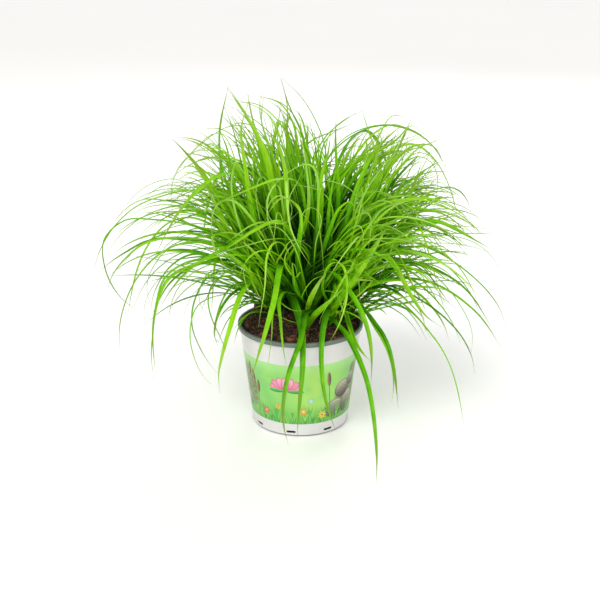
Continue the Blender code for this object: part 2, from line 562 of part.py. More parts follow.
def main():
    for obj in list(bpy.data.objects):
        bpy.data.objects.remove(obj, do_unlink=True)
    for mesh in list(bpy.data.meshes):
        bpy.data.meshes.remove(mesh)
    root = bpy.data.objects.new("plant", None)
    bpy.context.scene.collection.objects.link(root)

    pot, sleeve = build_pot(root)
    soil = build_soil(root)
    bpy.context.view_layer.update()
    graph = bpy.context.evaluated_depsgraph_get()
    room = Clearance()
    for solid in (pot, sleeve, soil):
        room.add(solid.name, BVHTree.FromObject(solid, graph))

    sheaths = [sheath_mesh(i) for i in range(len(SHOOTS))]
    for i, bm in enumerate(sheaths):
        room.add(i, world_tree(bm))

    # The inner blades of each shoot, laid in the shoot's own gaps between its neighbours.
    blades = {i: [] for i in range(len(SHOOTS))}
    for number, (index, tip_y, width, points) in enumerate(INNER):
        base = shoot_base(index)
        lean = SHOOTS[index][2:]
        turn = 0.9 * math.sin(number * 2.4)
        around = number * 1.57
        for step, swing in TRIES:
            start = base + np.array([lean[0], lean[1], 1.0]) * 9.0
            start = start + 0.5 * np.array([math.cos(around + swing), math.sin(around + swing), 0])
            curve = lay_out(start, lean, points, tip_y + step, 1.0, INNER_SPANS, 14.0)
            bm = blade_mesh(curve, width, turn)
            tree = grown(bm, 0.25)
            if not room.blocked(index, tree) and curve[:, 2].min() > FLOOR_CLEARANCE:
                break
            bm.free()
        else:
            raise RuntimeError(f"inner blade {number} finds no room")
        room.add(index, world_tree(bm))
        blades[index].append(bm)

    greens = [(0.13, 0.38, 0.03), (0.17, 0.46, 0.04), (0.10, 0.31, 0.025), (0.24, 0.52, 0.05)]
    for i, bm in enumerate(sheaths):
        name = f"shoot_{i + 1:02d}"
        mat = material(name, greens[i % 4], 0.45)
        shoot = add_object(name, mesh_from(bm, name), mat, root, shoot_base(i))
        for j, blade in enumerate(blades[i]):
            tag = f"{name}_blade_{j + 1}"
            boolean(shoot, helper(add_object(tag, mesh_from(blade, tag), None, root)), "UNION")

    # Outer leaves, each standing beside its shoot on the side it bends to.
    rows = [(shoot, width, ("drawn", tip_y, early, points)) for shoot, tip_y, width, early, points in OUTER]
    rows += [(shoot, width, ("far", math.radians(h), reach, top, tip)) for shoot, h, reach, top, tip, width in FAR]
    for number, (index, width, how) in enumerate(rows):
        turn = 0.8 * math.sin(number * 1.9 + 0.5)
        done = False
        # its own shoot first, then the next nearest two
        near = sorted(range(len(SHOOTS)), key=lambda i: math.dist(SHOOTS[i][:2], SHOOTS[index][:2]))[:3]
        for shoot, standoff, swing in [(i, *place) for i in near for place in PLACES]:
            x, y, lean_x, lean_y = SHOOTS[shoot]
            if how[0] == "drawn":
                tip = sight(*how[3][-1], how[1])
                heading = math.atan2(tip[1] - y, tip[0] - x)
            else:
                heading = how[1]
            out = np.array([math.cos(heading + swing), math.sin(heading + swing)])
            place = np.array([x, y]) + standoff * out
            if np.linalg.norm(place) > 53.0:
                continue
            high = max(
                soil_top(place[0] + 1.8 * math.cos(a), place[1] + 1.8 * math.sin(a))
                for a in np.linspace(0, 2 * math.pi, 9)
            )
            base = np.array([place[0], place[1], high + 0.8])
            lean = (lean_x + 0.12 * out[0], lean_y + 0.12 * out[1])
            for step in (0, 5, -5, 10, -10, 15, -15, 20, -20, 26, -26, 33, -33, 40, -40):
                if how[0] == "drawn":
                    curve = lay_out(base, lean, how[3], how[1] + step, how[2], LEAF_SPANS, 17.0)
                else:
                    curve = arch(base, lean, how[1] + 0.006 * step, how[2], how[3] + 0.4 * step, how[4], LEAF_SPANS, 17.0)
                bm = blade_mesh(curve, width, turn)
                tree = grown(bm, 0.25)
                if not room.blocked("leaf", tree) and curve[:, 2].min() > FLOOR_CLEARANCE:
                    done = True
                    break
                bm.free()
            if done:
                break
        if not done:
            raise RuntimeError(f"leaf {number + 1} finds no room")
        name = f"leaf_{number + 1:02d}"
        room.add(name, world_tree(bm))
        mat = material(name, greens[(number * 3) % 4], 0.4)
        add_object(name, mesh_from(bm, name), mat, root, base)


main()
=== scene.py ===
"""Looks of the potted umbrella sedge: fine blades, crumbly soil, pot and printed sleeve.

Lengths are in millimetres until a mesh is made; +Z is up and the front is -Y.
"""

import math
import random

import bmesh
import bpy
import numpy as np
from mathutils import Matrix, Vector, noise
from mathutils.bvhtree import BVHTree


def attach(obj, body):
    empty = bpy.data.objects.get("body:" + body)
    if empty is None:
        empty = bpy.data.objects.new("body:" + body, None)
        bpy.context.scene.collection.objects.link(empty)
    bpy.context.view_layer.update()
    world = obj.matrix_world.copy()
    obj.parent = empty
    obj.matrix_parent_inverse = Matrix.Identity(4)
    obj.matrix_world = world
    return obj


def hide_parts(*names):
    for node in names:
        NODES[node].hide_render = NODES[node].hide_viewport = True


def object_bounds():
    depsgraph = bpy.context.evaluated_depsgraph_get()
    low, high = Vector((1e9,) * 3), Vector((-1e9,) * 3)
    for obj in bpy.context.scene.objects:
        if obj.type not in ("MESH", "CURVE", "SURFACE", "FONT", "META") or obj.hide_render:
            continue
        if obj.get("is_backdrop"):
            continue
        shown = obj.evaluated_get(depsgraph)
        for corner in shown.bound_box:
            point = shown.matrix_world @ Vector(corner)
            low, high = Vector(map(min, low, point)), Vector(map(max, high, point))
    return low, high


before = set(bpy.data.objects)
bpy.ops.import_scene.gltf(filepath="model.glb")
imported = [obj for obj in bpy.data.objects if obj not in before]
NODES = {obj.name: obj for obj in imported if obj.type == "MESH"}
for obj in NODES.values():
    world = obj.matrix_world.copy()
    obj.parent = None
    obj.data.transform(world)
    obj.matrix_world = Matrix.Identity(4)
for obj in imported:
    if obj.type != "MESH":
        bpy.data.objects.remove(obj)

MM = 0.001
CAD_LOW, CAD_HIGH = (np.array(p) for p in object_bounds())
scene = bpy.context.scene

# ------------------------------------------------------- sizes from the model
POT_HEIGHT, POT_RIM_RADIUS, POT_TOP_WALL_RADIUS, POT_FOOT_RADIUS = 100.0, 60.0, 57.3, 45.5
POT_WALL, POT_FLOOR, LIP_HEIGHT = 1.3, 1.8, 4.0
DRAIN_COUNT, DRAIN_WIDTH, DRAIN_LOW, DRAIN_HIGH = 8, 9.0, 3.3, 5.8
DRAIN_FIRST_ANGLE = math.radians(-101.0)
SLEEVE_GAP, SLEEVE_THICKNESS, SLEEVE_LOW, SLEEVE_HIGH = 0.3, 0.45, 1.2, 95.2
SHEATH_HEIGHT = 20.0

VIEW_DISTANCE, VIEW_PITCH, VIEW_SCALE = 1100.0, math.radians(19.9), 1155.0
VIEW_AIM_Z, VIEW_SHIFT, VIEW_CENTRE = 121.0, 0.4, 300.0
INNER_SPANS = 9

# Shoot: place on the soil (x, y) and lean at the base (x, y, as slopes).
SHOOTS = [
    (24, -3, 0.25, -0.10),
    (10, 30, 0.12, 0.10),
    (-26, 28, -0.35, 0.02),
    (6, 3, -0.05, -0.12),
    (43, 22, 0.40, 0.05),
    (-23, 44, -0.35, 0.25),
    (-9, 35, -0.12, 0.10),
    (27, 34, 0.25, 0.20),
    (12, 16, 0.02, 0.00),
    (-4, 49, -0.05, 0.35),
    (37, 5, 0.35, -0.15),
    (17, 47, 0.12, 0.30),
    (30, 18, 0.25, 0.00),
]

# Inner blade: shoot, tip's y, width, points on the elevation from low to tip.
INNER = [
    (0, -30, 7.0, [(334, 299), (350, 272), (368, 250), (385, 232), (398, 214), (409, 199), (415, 186), (421, 163)]),
    (0, 10, 5.0, [(332, 298), (345, 265), (357, 235), (372, 205), (390, 178), (410, 155), (425, 143), (442, 139)]),
    (0, -60, 5.0, [(330, 296), (338, 262), (346, 225), (356, 190), (367, 165), (378, 146), (390, 135), (400, 126)]),
    (0, -80, 4.5, [(328, 298), (330, 262), (328, 225), (331, 190), (337, 165), (345, 150), (352, 141), (360, 136), (369, 147)]),
    (1, 60, 5.5, [(312, 294), (322, 276), (335, 255), (350, 234), (370, 217), (390, 208), (408, 206), (425, 210)]),
    (1, 20, 5.0, [(308, 288), (308, 255), (309, 220), (309, 190), (307, 160), (303, 137), (297, 122), (290, 108), (285, 95), (281, 79)]),
    (1, 70, 3.5, [(305, 290), (297, 258), (290, 228), (288, 198), (285, 165), (286, 142), (287, 122), (291, 104)]),
    (1, 100, 4.0, [(313, 290), (325, 255), (336, 218), (348, 188), (364, 167), (386, 152), (405, 151), (420, 158)]),
    (2, 0, 4.5, [(267, 290), (255, 256), (243, 220), (234, 185), (229, 160), (226, 143), (219, 129)]),
    (2, -50, 4.5, [(269, 286), (260, 245), (250, 205), (246, 172), (243, 148), (241, 128), (249, 104)]),
    (2, 40, 5.0, [(265, 288), (247, 255), (228, 218), (213, 190), (200, 172), (186, 162), (176, 168)]),
    (2, 20, 3.5, [(266, 288), (250, 243), (234, 206), (224, 178), (219, 155), (219, 132), (223, 108), (228, 88)]),
    (3, -90, 4.5, [(303, 300), (298, 270), (299, 242), (302, 222), (298, 205), (288, 196), (275, 200), (266, 215)]),
    (3, -50, 4.5, [(306, 300), (312, 262), (318, 225), (320, 195), (323, 168), (329, 152), (331, 131)]),
    (3, -20, 4.0, [(301, 300), (292, 268), (280, 240), (264, 215), (246, 200), (226, 198), (209, 206)]),
    (3, -70, 4.0, [(308, 300), (318, 268), (326, 240), (336, 214), (348, 198), (356, 205), (357, 222)]),
    (4, 60, 4.5, [(352, 284), (366, 262), (384, 244), (404, 230), (424, 222), (446, 224), (470, 230)]),
    (4, 10, 4.5, [(353, 286), (372, 256), (394, 230), (414, 213), (432, 211), (447, 215), (459, 225), (468, 237)]),
    (4, 90, 4.0, [(348, 280), (359, 250), (376, 215), (395, 190), (415, 176), (432, 171), (450, 172)]),
    (4, 50, 4.5, [(347, 280), (353, 245), (366, 205), (386, 172), (406, 150), (421, 141), (433, 143), (441, 155), (446, 167)]),
    (5, 110, 4.0, [(270, 285), (253, 250), (232, 226), (208, 214), (186, 210), (166, 216), (154, 228)]),
    (5, 60, 4.0, [(272, 280), (259, 235), (248, 195), (240, 160), (234, 132), (224, 107)]),
    (5, 90, 4.0, [(268, 285), (247, 245), (225, 208), (207, 187), (192, 177), (178, 178)]),
    (5, 120, 3.5, [(274, 282), (264, 235), (256, 190), (254, 162), (254, 145), (253, 127)]),
    (6, -20, 6.5, [(286, 284), (280, 240), (274, 200), (269, 165), (260, 142), (250, 122), (239, 105), (228, 88)]),
    (6, 30, 4.5, [(289, 280), (285, 240), (278, 200), (270, 160), (266, 138), (260, 118), (261, 103), (264, 95)]),
    (6, 80, 4.0, [(283, 285), (271, 245), (264, 205), (262, 168), (258, 140), (252, 118), (248, 95)]),
    (6, -60, 5.0, [(287, 282), (284, 240), (287, 200), (285, 168), (279, 146), (270, 132), (258, 127)]),
    (7, 40, 4.5, [(329, 288), (338, 255), (353, 220), (368, 190), (378, 162), (372, 140), (366, 124), (362, 111)]),
    (7, 80, 4.5, [(331, 285), (347, 245), (370, 205), (391, 165), (401, 143), (411, 120)]),
    (7, 120, 4.0, [(327, 288), (333, 255), (340, 215), (348, 180), (362, 155), (384, 142), (404, 140)]),
    (7, 20, 4.5, [(333, 285), (352, 250), (376, 225), (400, 205), (420, 194), (440, 191), (460, 194)]),
    (8, -30, 5.5, [(313, 298), (320, 268), (321, 240), (318, 215), (318, 190), (323, 165), (334, 150)]),
    (8, -20, 5.0, [(310, 296), (314, 262), (313, 225), (311, 190), (309, 168), (305, 150), (297, 134)]),
    (8, -70, 6.0, [(311, 296), (309, 255), (306, 215), (300, 180), (285, 176), (268, 184), (250, 188), (230, 198), (208, 207)]),
    (8, -60, 4.5, [(315, 296), (324, 262), (337, 228), (354, 200), (375, 191), (394, 198), (406, 210), (413, 222)]),
    (9, 80, 3.2, [(296, 284), (292, 240), (293, 200), (297, 160), (294, 126), (287, 107), (273, 99), (255, 95)]),
    (9, 130, 3.5, [(292, 284), (286, 238), (281, 192), (272, 153), (262, 132), (249, 122), (234, 123), (222, 129)]),
    (9, 110, 4.0, [(297, 280), (301, 240), (307, 200), (313, 165), (320, 144), (331, 131), (345, 120), (362, 110)]),
    (9, 150, 3.5, [(294, 282), (283, 240), (271, 205), (261, 172), (252, 150), (242, 134), (225, 120)]),
    (10, -20, 4.5, [(347, 298), (360, 279), (377, 267), (396, 262), (416, 264), (434, 270), (449, 282)]),
    (10, -60, 4.5, [(344, 298), (353, 268), (369, 238), (391, 220), (412, 213), (428, 218), (438, 230)]),
    (10, 30, 4.0, [(342, 298), (348, 262), (361, 230), (379, 207), (400, 194), (420, 191), (436, 196)]),
    (10, -90, 4.0, [(345, 298), (358, 272), (374, 256), (388, 256), (398, 268), (404, 286), (408, 304)]),
    (11, 130, 3.5, [(318, 285), (318, 245), (318, 205), (323, 168), (331, 153), (343, 141), (356, 133), (370, 127), (386, 124), (400, 126), (413, 131), (425, 138), (437, 149), (446, 167)]),
    (11, 70, 3.0, [(316, 283), (321, 240), (326, 195), (327, 160), (323, 137), (316, 120), (308, 105), (298, 92), (283, 79)]),
    (11, 150, 4.0, [(321, 283), (336, 240), (353, 200), (368, 165), (377, 142), (382, 127), (390, 115), (398, 112), (408, 118)]),
    (11, 170, 4.0, [(314, 283), (309, 240), (301, 200), (293, 172), (299, 150), (320, 137), (352, 124)]),
    (12, 60, 5.0, [(334, 290), (341, 255), (354, 220), (370, 190), (388, 166), (402, 151), (418, 146)]),
    (12, -10, 4.5, [(336, 288), (352, 255), (374, 229), (399, 215), (425, 205), (445, 197), (456, 194)]),
    (12, 20, 4.5, [(338, 287), (357, 263), (381, 251), (405, 247), (430, 246), (447, 246)]),
    (12, -40, 4.0, [(333, 290), (336, 255), (338, 215), (338, 180), (336, 150), (337, 117)]),
]
TRIES = [(0, 0)] + [(d, a) for k in range(1, 13) for d, a in ((6 * k, 0), (-6 * k, 0), (6 * k, 0.5), (-6 * k, -0.5))]

# Fine extra blade: shoot, tip's y, width, colour (0 deep to 1 pale), points on the elevation.
FINE = [
    (5, -10, 2.4, 0.75, [(215, 196), (190, 189), (170, 190), (150, 197), (140, 199), (130, 203), (120, 213), (107, 229)]),
    (2, 20, 1.6, 0.55, [(205, 200), (180, 178), (165, 179), (150, 184), (138, 192), (128, 203), (122, 212), (118, 220)]),
    (5, -60, 1.7, 0.6, [(225, 255), (195, 243), (175, 245), (165, 250), (157, 260), (148, 275), (145, 290), (149, 302), (153, 311)]),
    (6, 70, 3.2, 0.5, [(250, 260), (235, 245), (222, 231), (212, 222), (203, 214), (190, 207), (175, 202), (160, 200), (145, 198), (135, 201), (127, 208)]),
    (5, 50, 3.2, 0.4, [(255, 255), (240, 240), (215, 233), (195, 226), (180, 221), (168, 217), (155, 213), (145, 212), (138, 215)]),
    (6, -30, 2.2, 0.7, [(245, 175), (225, 150), (205, 146), (190, 153), (180, 163), (173, 175), (170, 190), (171, 203), (173, 214)]),
    (9, 70, 3.0, 0.45, [(245, 190), (225, 160), (210, 150), (200, 144), (190, 140), (180, 138), (173, 140)]),
    (6, -10, 2.6, 0.55, [(240, 175), (232, 150), (226, 133), (219, 128), (207, 137), (197, 147), (188, 156), (180, 166), (174, 177), (171, 187)]),
    (2, -65, 3.4, 0.55, [(250, 275), (228, 262), (205, 262), (185, 268), (168, 277), (158, 300), (153, 330), (154, 352), (156, 373)]),
    (2, 30, 2.6, 0.3, [(230, 268), (205, 257), (190, 258), (175, 260), (160, 261)]),
    (5, -50, 1.6, 0.5, [(230, 268), (200, 262), (180, 266), (165, 273), (155, 283), (148, 294), (144, 305), (143, 317), (146, 324)]),
    (2, -72, 3.6, 0.45, [(255, 288), (240, 285), (228, 276), (215, 279), (210, 287), (207, 300), (209, 312), (214, 325), (221, 338), (226, 350)]),
    (2, -70, 1.8, 0.6, [(240, 292), (215, 296), (197, 305), (191, 322), (190, 340), (195, 360), (203, 377), (211, 384)]),
    (6, 20, 2.6, 0.5, [(262, 165), (257, 138), (250, 122), (243, 115), (236, 110)]),
    (1, 100, 1.8, 0.7, [(288, 165), (280, 135), (275, 120), (258, 107), (236, 100), (217, 98)]),
    (9, 60, 2.6, 0.5, [(289, 180), (284, 150), (280, 143), (270, 133), (262, 126)]),
    (7, 80, 1.6, 0.65, [(395, 155), (411, 120), (417, 128), (425, 136), (432, 140), (445, 139)]),
    (7, 60, 2.8, 0.5, [(362, 175), (380, 150), (395, 143), (410, 137), (425, 133)]),
    (12, 40, 2.6, 0.5, [(378, 170), (395, 150), (410, 155), (418, 160)]),
    (4, 70, 2.4, 0.55, [(390, 180), (405, 161), (415, 150), (425, 153), (433, 157), (438, 168), (439, 172)]),
    (4, 30, 3.0, 0.5, [(400, 230), (430, 219), (445, 216), (458, 213), (472, 211)]),
    (4, -10, 3.0, 0.45, [(395, 230), (420, 225), (440, 228), (455, 233), (468, 236)]),
    (12, -30, 2.0, 0.65, [(410, 224), (440, 222), (452, 225), (462, 226), (475, 227), (490, 229), (498, 232)]),
    (7, 40, 2.0, 0.6, [(380, 248), (400, 244), (420, 243), (440, 243), (452, 243), (465, 245), (478, 248), (495, 254)]),
    (12, 10, 3.0, 0.4, [(375, 262), (395, 258), (415, 260), (430, 259), (445, 256)]),
    (4, 40, 2.8, 0.45, [(395, 268), (420, 265), (435, 263), (450, 263), (460, 265), (467, 267)]),
    (7, 0, 2.0, 0.6, [(380, 268), (400, 268), (415, 270), (430, 275), (445, 279), (458, 284), (470, 292), (478, 298)]),
    (4, -40, 3.2, 0.15, [(410, 262), (425, 268), (430, 275), (436, 284), (442, 293), (449, 302)]),
    (12, -45, 2.0, 0.6, [(415, 268), (437, 287), (441, 298), (445, 310), (446, 320)]),
    (10, -5, 2.0, 0.35, [(370, 298), (385, 294), (397, 291), (410, 288), (430, 286), (437, 287)]),
    (10, -50, 3.0, 0.12, [(378, 286), (397, 291), (405, 298), (413, 306), (424, 318)]),
    (10, -30, 1.6, 0.35, [(350, 303), (365, 302), (380, 303), (395, 309), (408, 319), (415, 328), (420, 336)]),
    (4, 20, 2.2, 0.3, [(355, 300), (370, 300), (390, 300), (405, 301)]),
    (7, 15, 1.7, 0.6, [(405, 258), (425, 268), (438, 279), (450, 291), (459, 304), (467, 317), (472, 330), (473, 342), (471, 354)]),
    (3, -76, 3.4, 0.55, [(283, 292), (279, 303), (281, 318), (282, 332), (284, 350), (287, 368)]),
    (6, -78, 2.0, 0.85, [(278, 300), (273, 315), (272, 335), (270, 350), (268, 365)]),
    (6, -70, 3.0, 0.85, [(286, 175), (287, 190), (288, 215), (290, 230), (296, 242), (300, 250), (305, 258), (310, 265)]),
    (6, -85, 2.2, 0.85, [(276, 180), (267, 197), (265, 205), (267, 218), (272, 225), (278, 228), (285, 224), (292, 220), (298, 212)]),
    (6, -50, 3.8, 0.86, [(283, 268), (290, 257), (298, 243), (303, 229), (307, 213), (308, 198), (307, 180), (305, 160), (302, 140), (294, 122)]),
    (8, -52, 2.2, 0.85, [(302, 276), (311, 262), (305, 250), (299, 245), (294, 238), (290, 228), (288, 214), (287, 202), (292, 191), (299, 180), (304, 168)]),
    (3, -40, 3.0, 0.52, [(298, 292), (303, 277), (311, 266), (323, 258), (338, 246), (352, 232)]),
    (3, -48, 3.4, 0.46, [(297, 296), (300, 284), (308, 272), (318, 266), (330, 256), (346, 243), (362, 228)]),
    (3, -30, 2.6, 0.60, [(299, 290), (306, 270), (318, 255), (330, 238), (340, 222), (352, 210)]),
    (3, -60, 1.4, 0.80, [(302, 296), (306, 288), (312, 281), (318, 277), (326, 276)]),
    (6, -76, 1.6, 0.80, [(276, 298), (281, 303), (287, 308), (295, 311), (302, 311)]),
    (8, -40, 1.6, 0.70, [(331, 248), (332, 234), (333, 220), (332, 206), (327, 196), (318, 190), (306, 186), (292, 185)]),
    (8, -30, 1.5, 0.66, [(322, 240), (313, 226), (301, 212), (296, 204), (289, 200)]),
    (6, -72, 1.5, 0.85, [(276, 262), (283, 252), (290, 240), (301, 240), (311, 248)]),
    (3, -66, 1.6, 0.80, [(300, 270), (297, 280), (289, 272), (284, 262), (288, 250), (296, 243), (306, 240)]),
    (0, -50, 5.6, 0.60, [(328, 312), (344, 286), (360, 266), (380, 251), (400, 242), (418, 238)]),
    (3, -45, 5.2, 0.55, [(314, 300), (324, 275), (337, 250), (352, 228), (370, 208), (390, 194)]),
    (0, -55, 5.0, 0.66, [(326, 300), (338, 272), (355, 248), (376, 230), (398, 219), (415, 216)]),
    (8, -30, 5.0, 0.50, [(318, 285), (327, 255), (342, 224), (358, 196), (372, 178), (386, 168)]),
    (10, -40, 4.6, 0.62, [(344, 292), (356, 272), (374, 258), (396, 252), (418, 252)]),
    (12, -25, 4.6, 0.58, [(338, 282), (352, 252), (372, 226), (394, 208), (414, 200), (430, 200)]),
    (2, -50, 4.4, 0.62, [(272, 292), (262, 276), (250, 262), (236, 252), (220, 247), (204, 250)]),
    (2, -40, 4.0, 0.55, [(268, 296), (255, 284), (241, 275), (226, 270), (212, 272)]),
    (6, -60, 3.6, 0.70, [(286, 290), (276, 268), (262, 250), (246, 238), (230, 232), (214, 234)]),
    (3, -66, 3.4, 0.66, [(300, 296), (292, 272), (280, 256), (266, 250), (252, 254), (243, 266), (238, 280)]),
    (6, -60, 3.6, 0.75, [(282, 286), (280, 274), (286, 261), (294, 250), (299, 240), (302, 229), (303, 219), (299, 209), (291, 201)]),
    (6, -50, 1.5, 0.8, [(262, 172), (255, 190), (257, 205), (260, 218), (261, 230), (266, 239), (272, 244)]),
    (3, -55, 4.4, 0.62, [(297, 250), (285, 223), (275, 220), (262, 226), (248, 234), (236, 243), (222, 252)]),
    (6, -50, 2.8, 0.78, [(288, 238), (268, 222), (252, 224), (238, 234), (226, 243)]),
    (3, -62, 2.8, 0.85, [(312, 264), (304, 244), (290, 239), (278, 238), (262, 241), (245, 246), (228, 250), (212, 258)]),
    (6, -60, 1.7, 0.75, [(284, 225), (277, 208), (276, 218), (275, 232), (273, 245), (268, 257)]),
    (6, -88, 2.3, 0.88, [(290, 262), (284, 243), (275, 240), (269, 248), (266, 262), (266, 280), (264, 298), (261, 312), (259, 326)]),
    (0, -66, 2.4, 0.8, [(326, 316), (332, 309), (339, 304), (348, 304), (357, 310), (364, 320)]),
    (0, -75, 3.4, 0.78, [(327, 322), (331, 315), (338, 311), (347, 312), (356, 316), (364, 322), (369, 332)]),
    (10, -60, 3.0, 0.25, [(345, 306), (345, 314), (349, 322), (353, 332), (356, 344), (362, 352)]),
    (8, -60, 2.2, 0.5, [(309, 305), (314, 297), (321, 292), (329, 291), (337, 294), (343, 301)]),
    (6, -58, 1.9, 0.55, [(281, 318), (272, 313), (262, 312), (254, 312), (246, 315), (239, 322), (232, 333)]),
    (3, -72, 1.4, 0.75, [(306, 322), (297, 323), (289, 321), (281, 317), (275, 314)]),
    (5, -55, 2.2, 0.75, [(262, 285), (252, 263), (249, 262), (251, 275), (256, 289), (262, 301), (267, 309)]),
    (0, -42, 8.5, 0.80, [(330, 312), (338, 294), (347, 277), (358, 262), (372, 248)]),
    (11, 90, 4.2, 0.5, [(308, 175), (307, 160), (306, 146), (302, 131), (295, 116), (289, 108), (281, 102), (271, 98), (262, 97)]),
    (9, 60, 6.2, 0.45, [(283, 190), (275, 168), (266, 150), (258, 137), (250, 123), (243, 114), (237, 110)]),
    (9, 50, 3.2, 0.7, [(275, 175), (266, 152), (260, 140), (254, 124), (250, 110), (248, 98), (247, 93)]),
    (6, 40, 2.8, 0.6, [(275, 165), (268, 142), (262, 124), (259, 110), (259, 98), (263, 93)]),
    (6, 60, 2.4, 0.65, [(277, 170), (268, 145), (264, 130), (261, 116), (260, 102), (262, 95)]),
    (9, 80, 2.8, 0.5, [(292, 170), (284, 150), (276, 139), (268, 131), (261, 126)]),
    (9, 90, 2.0, 0.45, [(288, 165), (281, 142), (277, 130), (270, 117), (262, 109)]),
    (1, 80, 2.2, 0.5, [(303, 185), (300, 160), (297, 142), (292, 131), (286, 125)]),
    (9, 110, 3.0, 0.5, [(290, 175), (287, 150), (286, 133), (287, 120), (288, 108), (285, 95), (281, 79)]),
    (6, 30, 2.6, 0.5, [(250, 190), (244, 165), (242, 145), (239, 130), (233, 119), (226, 110), (223, 106)]),
    (6, 70, 2.2, 0.75, [(252, 185), (243, 160), (241, 138), (242, 123), (246, 112), (249, 103), (249, 95)]),
    (6, 20, 3.0, 0.5, [(256, 200), (253, 175), (253, 158), (254, 142), (255, 130)]),
    (5, 40, 3.4, 0.55, [(228, 205), (221, 180), (219, 158), (218, 138), (219, 125), (223, 107), (228, 88)]),
    (9, 50, 2.2, 0.35, [(262, 145), (250, 122), (243, 111), (236, 100), (228, 88)]),
    (5, 30, 3.2, 0.5, [(237, 195), (231, 168), (227, 150), (223, 137), (217, 126)]),
    (5, 60, 1.7, 0.35, [(262, 150), (245, 124), (233, 124), (220, 129), (208, 138), (196, 149), (186, 159), (178, 170)]),
    (5, 10, 3.4, 0.7, [(245, 175), (235, 163), (220, 159), (205, 157), (191, 154)]),
    (2, 20, 3.2, 0.55, [(240, 185), (225, 163), (210, 151), (200, 143), (188, 139)]),
    (7, 70, 1.8, 0.45, [(324, 160), (327, 135), (333, 127), (341, 120), (351, 115), (362, 111)]),
    (12, 60, 2.0, 0.5, [(380, 165), (372, 142), (368, 129), (365, 118), (362, 110)]),
    (7, 90, 2.6, 0.3, [(320, 160), (325, 140), (331, 133), (338, 130), (345, 128), (352, 124)]),
    (11, 100, 2.6, 0.7, [(336, 180), (335, 155), (335, 130), (336, 117)]),
    (11, 60, 2.0, 0.4, [(322, 180), (329, 155), (338, 143), (348, 135), (358, 130), (370, 126), (382, 124), (394, 124), (406, 126), (417, 131), (427, 138), (434, 146), (441, 158), (446, 167)]),
    (7, 50, 2.4, 0.45, [(340, 185), (345, 160), (350, 147), (356, 139), (362, 136), (367, 140), (369, 147)]),
    (7, 40, 5.2, 0.4, [(326, 200), (333, 182), (346, 169), (363, 158), (380, 150), (395, 142), (404, 133), (411, 120)]),
    (12, 80, 2.2, 0.5, [(380, 170), (377, 150), (377, 139), (380, 129), (384, 120), (388, 115)]),
    (4, 70, 2.6, 0.45, [(380, 180), (379, 155), (383, 141), (390, 132), (396, 126)]),
    (12, 90, 2.8, 0.5, [(378, 175), (383, 152), (391, 142), (397, 133), (401, 123)]),
    (4, 60, 2.8, 0.5, [(378, 185), (388, 160), (398, 149), (408, 140), (418, 137), (427, 139)]),
    (12, 30, 2.8, 0.5, [(375, 190), (390, 163), (401, 153), (414, 149), (426, 145), (442, 138)]),
    (4, 20, 2.6, 0.5, [(385, 195), (393, 174), (404, 162), (416, 157), (428, 152)]),
    (7, 60, 2.4, 0.35, [(372, 170), (388, 152), (400, 151), (411, 157), (421, 166)]),
    (4, 40, 1.8, 0.55, [(385, 165), (400, 146), (413, 142), (424, 148), (432, 157), (438, 168), (440, 181)]),
    (4, 10, 2.6, 0.5, [(385, 210), (400, 192), (414, 184), (430, 180), (450, 178)]),
    (12, 0, 2.6, 0.5, [(380, 215), (398, 196), (414, 191), (432, 190), (450, 193)]),
    (7, -10, 2.8, 0.55, [(385, 225), (405, 207), (422, 203), (438, 197), (453, 193)]),
    (2, -30, 2.6, 0.45, [(222, 262), (205, 255), (190, 254), (178, 260), (168, 268), (160, 280), (153, 296), (151, 310)]),
    (5, -45, 1.8, 0.4, [(225, 268), (208, 272), (200, 285), (198, 300), (202, 310), (207, 315)]),
    (2, -55, 2.4, 0.3, [(232, 285), (222, 300), (217, 315), (214, 328), (214, 340), (219, 345), (224, 342)]),
    (5, 30, 1.6, 0.35, [(215, 235), (195, 233), (180, 236), (165, 245), (158, 260), (152, 275)]),
    (2, 0, 3.0, 0.5, [(225, 240), (205, 231), (190, 224), (178, 218), (165, 212), (150, 212)]),
    (5, 60, 2.2, 0.5, [(222, 225), (205, 212), (192, 206), (180, 204), (170, 199), (155, 199)]),
    (4, -45, 2.8, 0.3, [(398, 262), (408, 275), (414, 288), (421, 300), (427, 312)]),
    (10, -40, 2.6, 0.5, [(392, 270), (403, 283), (412, 297), (420, 311), (425, 325), (425, 331)]),
    (4, -30, 2.2, 0.45, [(400, 262), (415, 266), (425, 272), (434, 282), (440, 292), (447, 301)]),
    (12, -20, 1.8, 0.4, [(405, 268), (418, 272), (426, 282), (428, 295), (428, 305)]),
    (8, -60, 3.2, 0.62, [(322, 180), (318, 195), (318, 215), (320, 235), (323, 255), (323, 270)]),
    (0, -100, 2.6, 0.8, [(322, 290), (328, 266), (337, 260), (344, 265), (347, 280), (347, 298), (343, 315), (338, 328), (330, 342)]),
    (8, -80, 2.4, 0.85, [(318, 175), (311, 160), (300, 164), (290, 170), (278, 180), (268, 190), (264, 202), (265, 215), (270, 224)]),
    (6, -75, 3.6, 0.8, [(235, 200), (220, 200), (213, 208), (211, 225), (213, 240), (214, 252)]),
    (8, -75, 3.6, 0.66, [(318, 280), (322, 262), (335, 228), (352, 200), (375, 190), (395, 197), (405, 208), (412, 218)]),
    (3, -70, 3.0, 0.45, [(302, 300), (295, 290), (292, 268), (291, 261), (295, 265), (297, 280)]),
    (3, -62, 5.2, 0.98, [(309, 308), (312, 299), (317, 288), (322, 278), (326, 274)]),
    (8, -50, 4.0, 0.58, [(312, 300), (322, 280), (330, 262), (345, 245), (362, 235), (375, 232)]),
    (0, -60, 9.0, 0.82, [(326, 322), (332, 308), (345, 288), (360, 268), (374, 248), (386, 230)]),
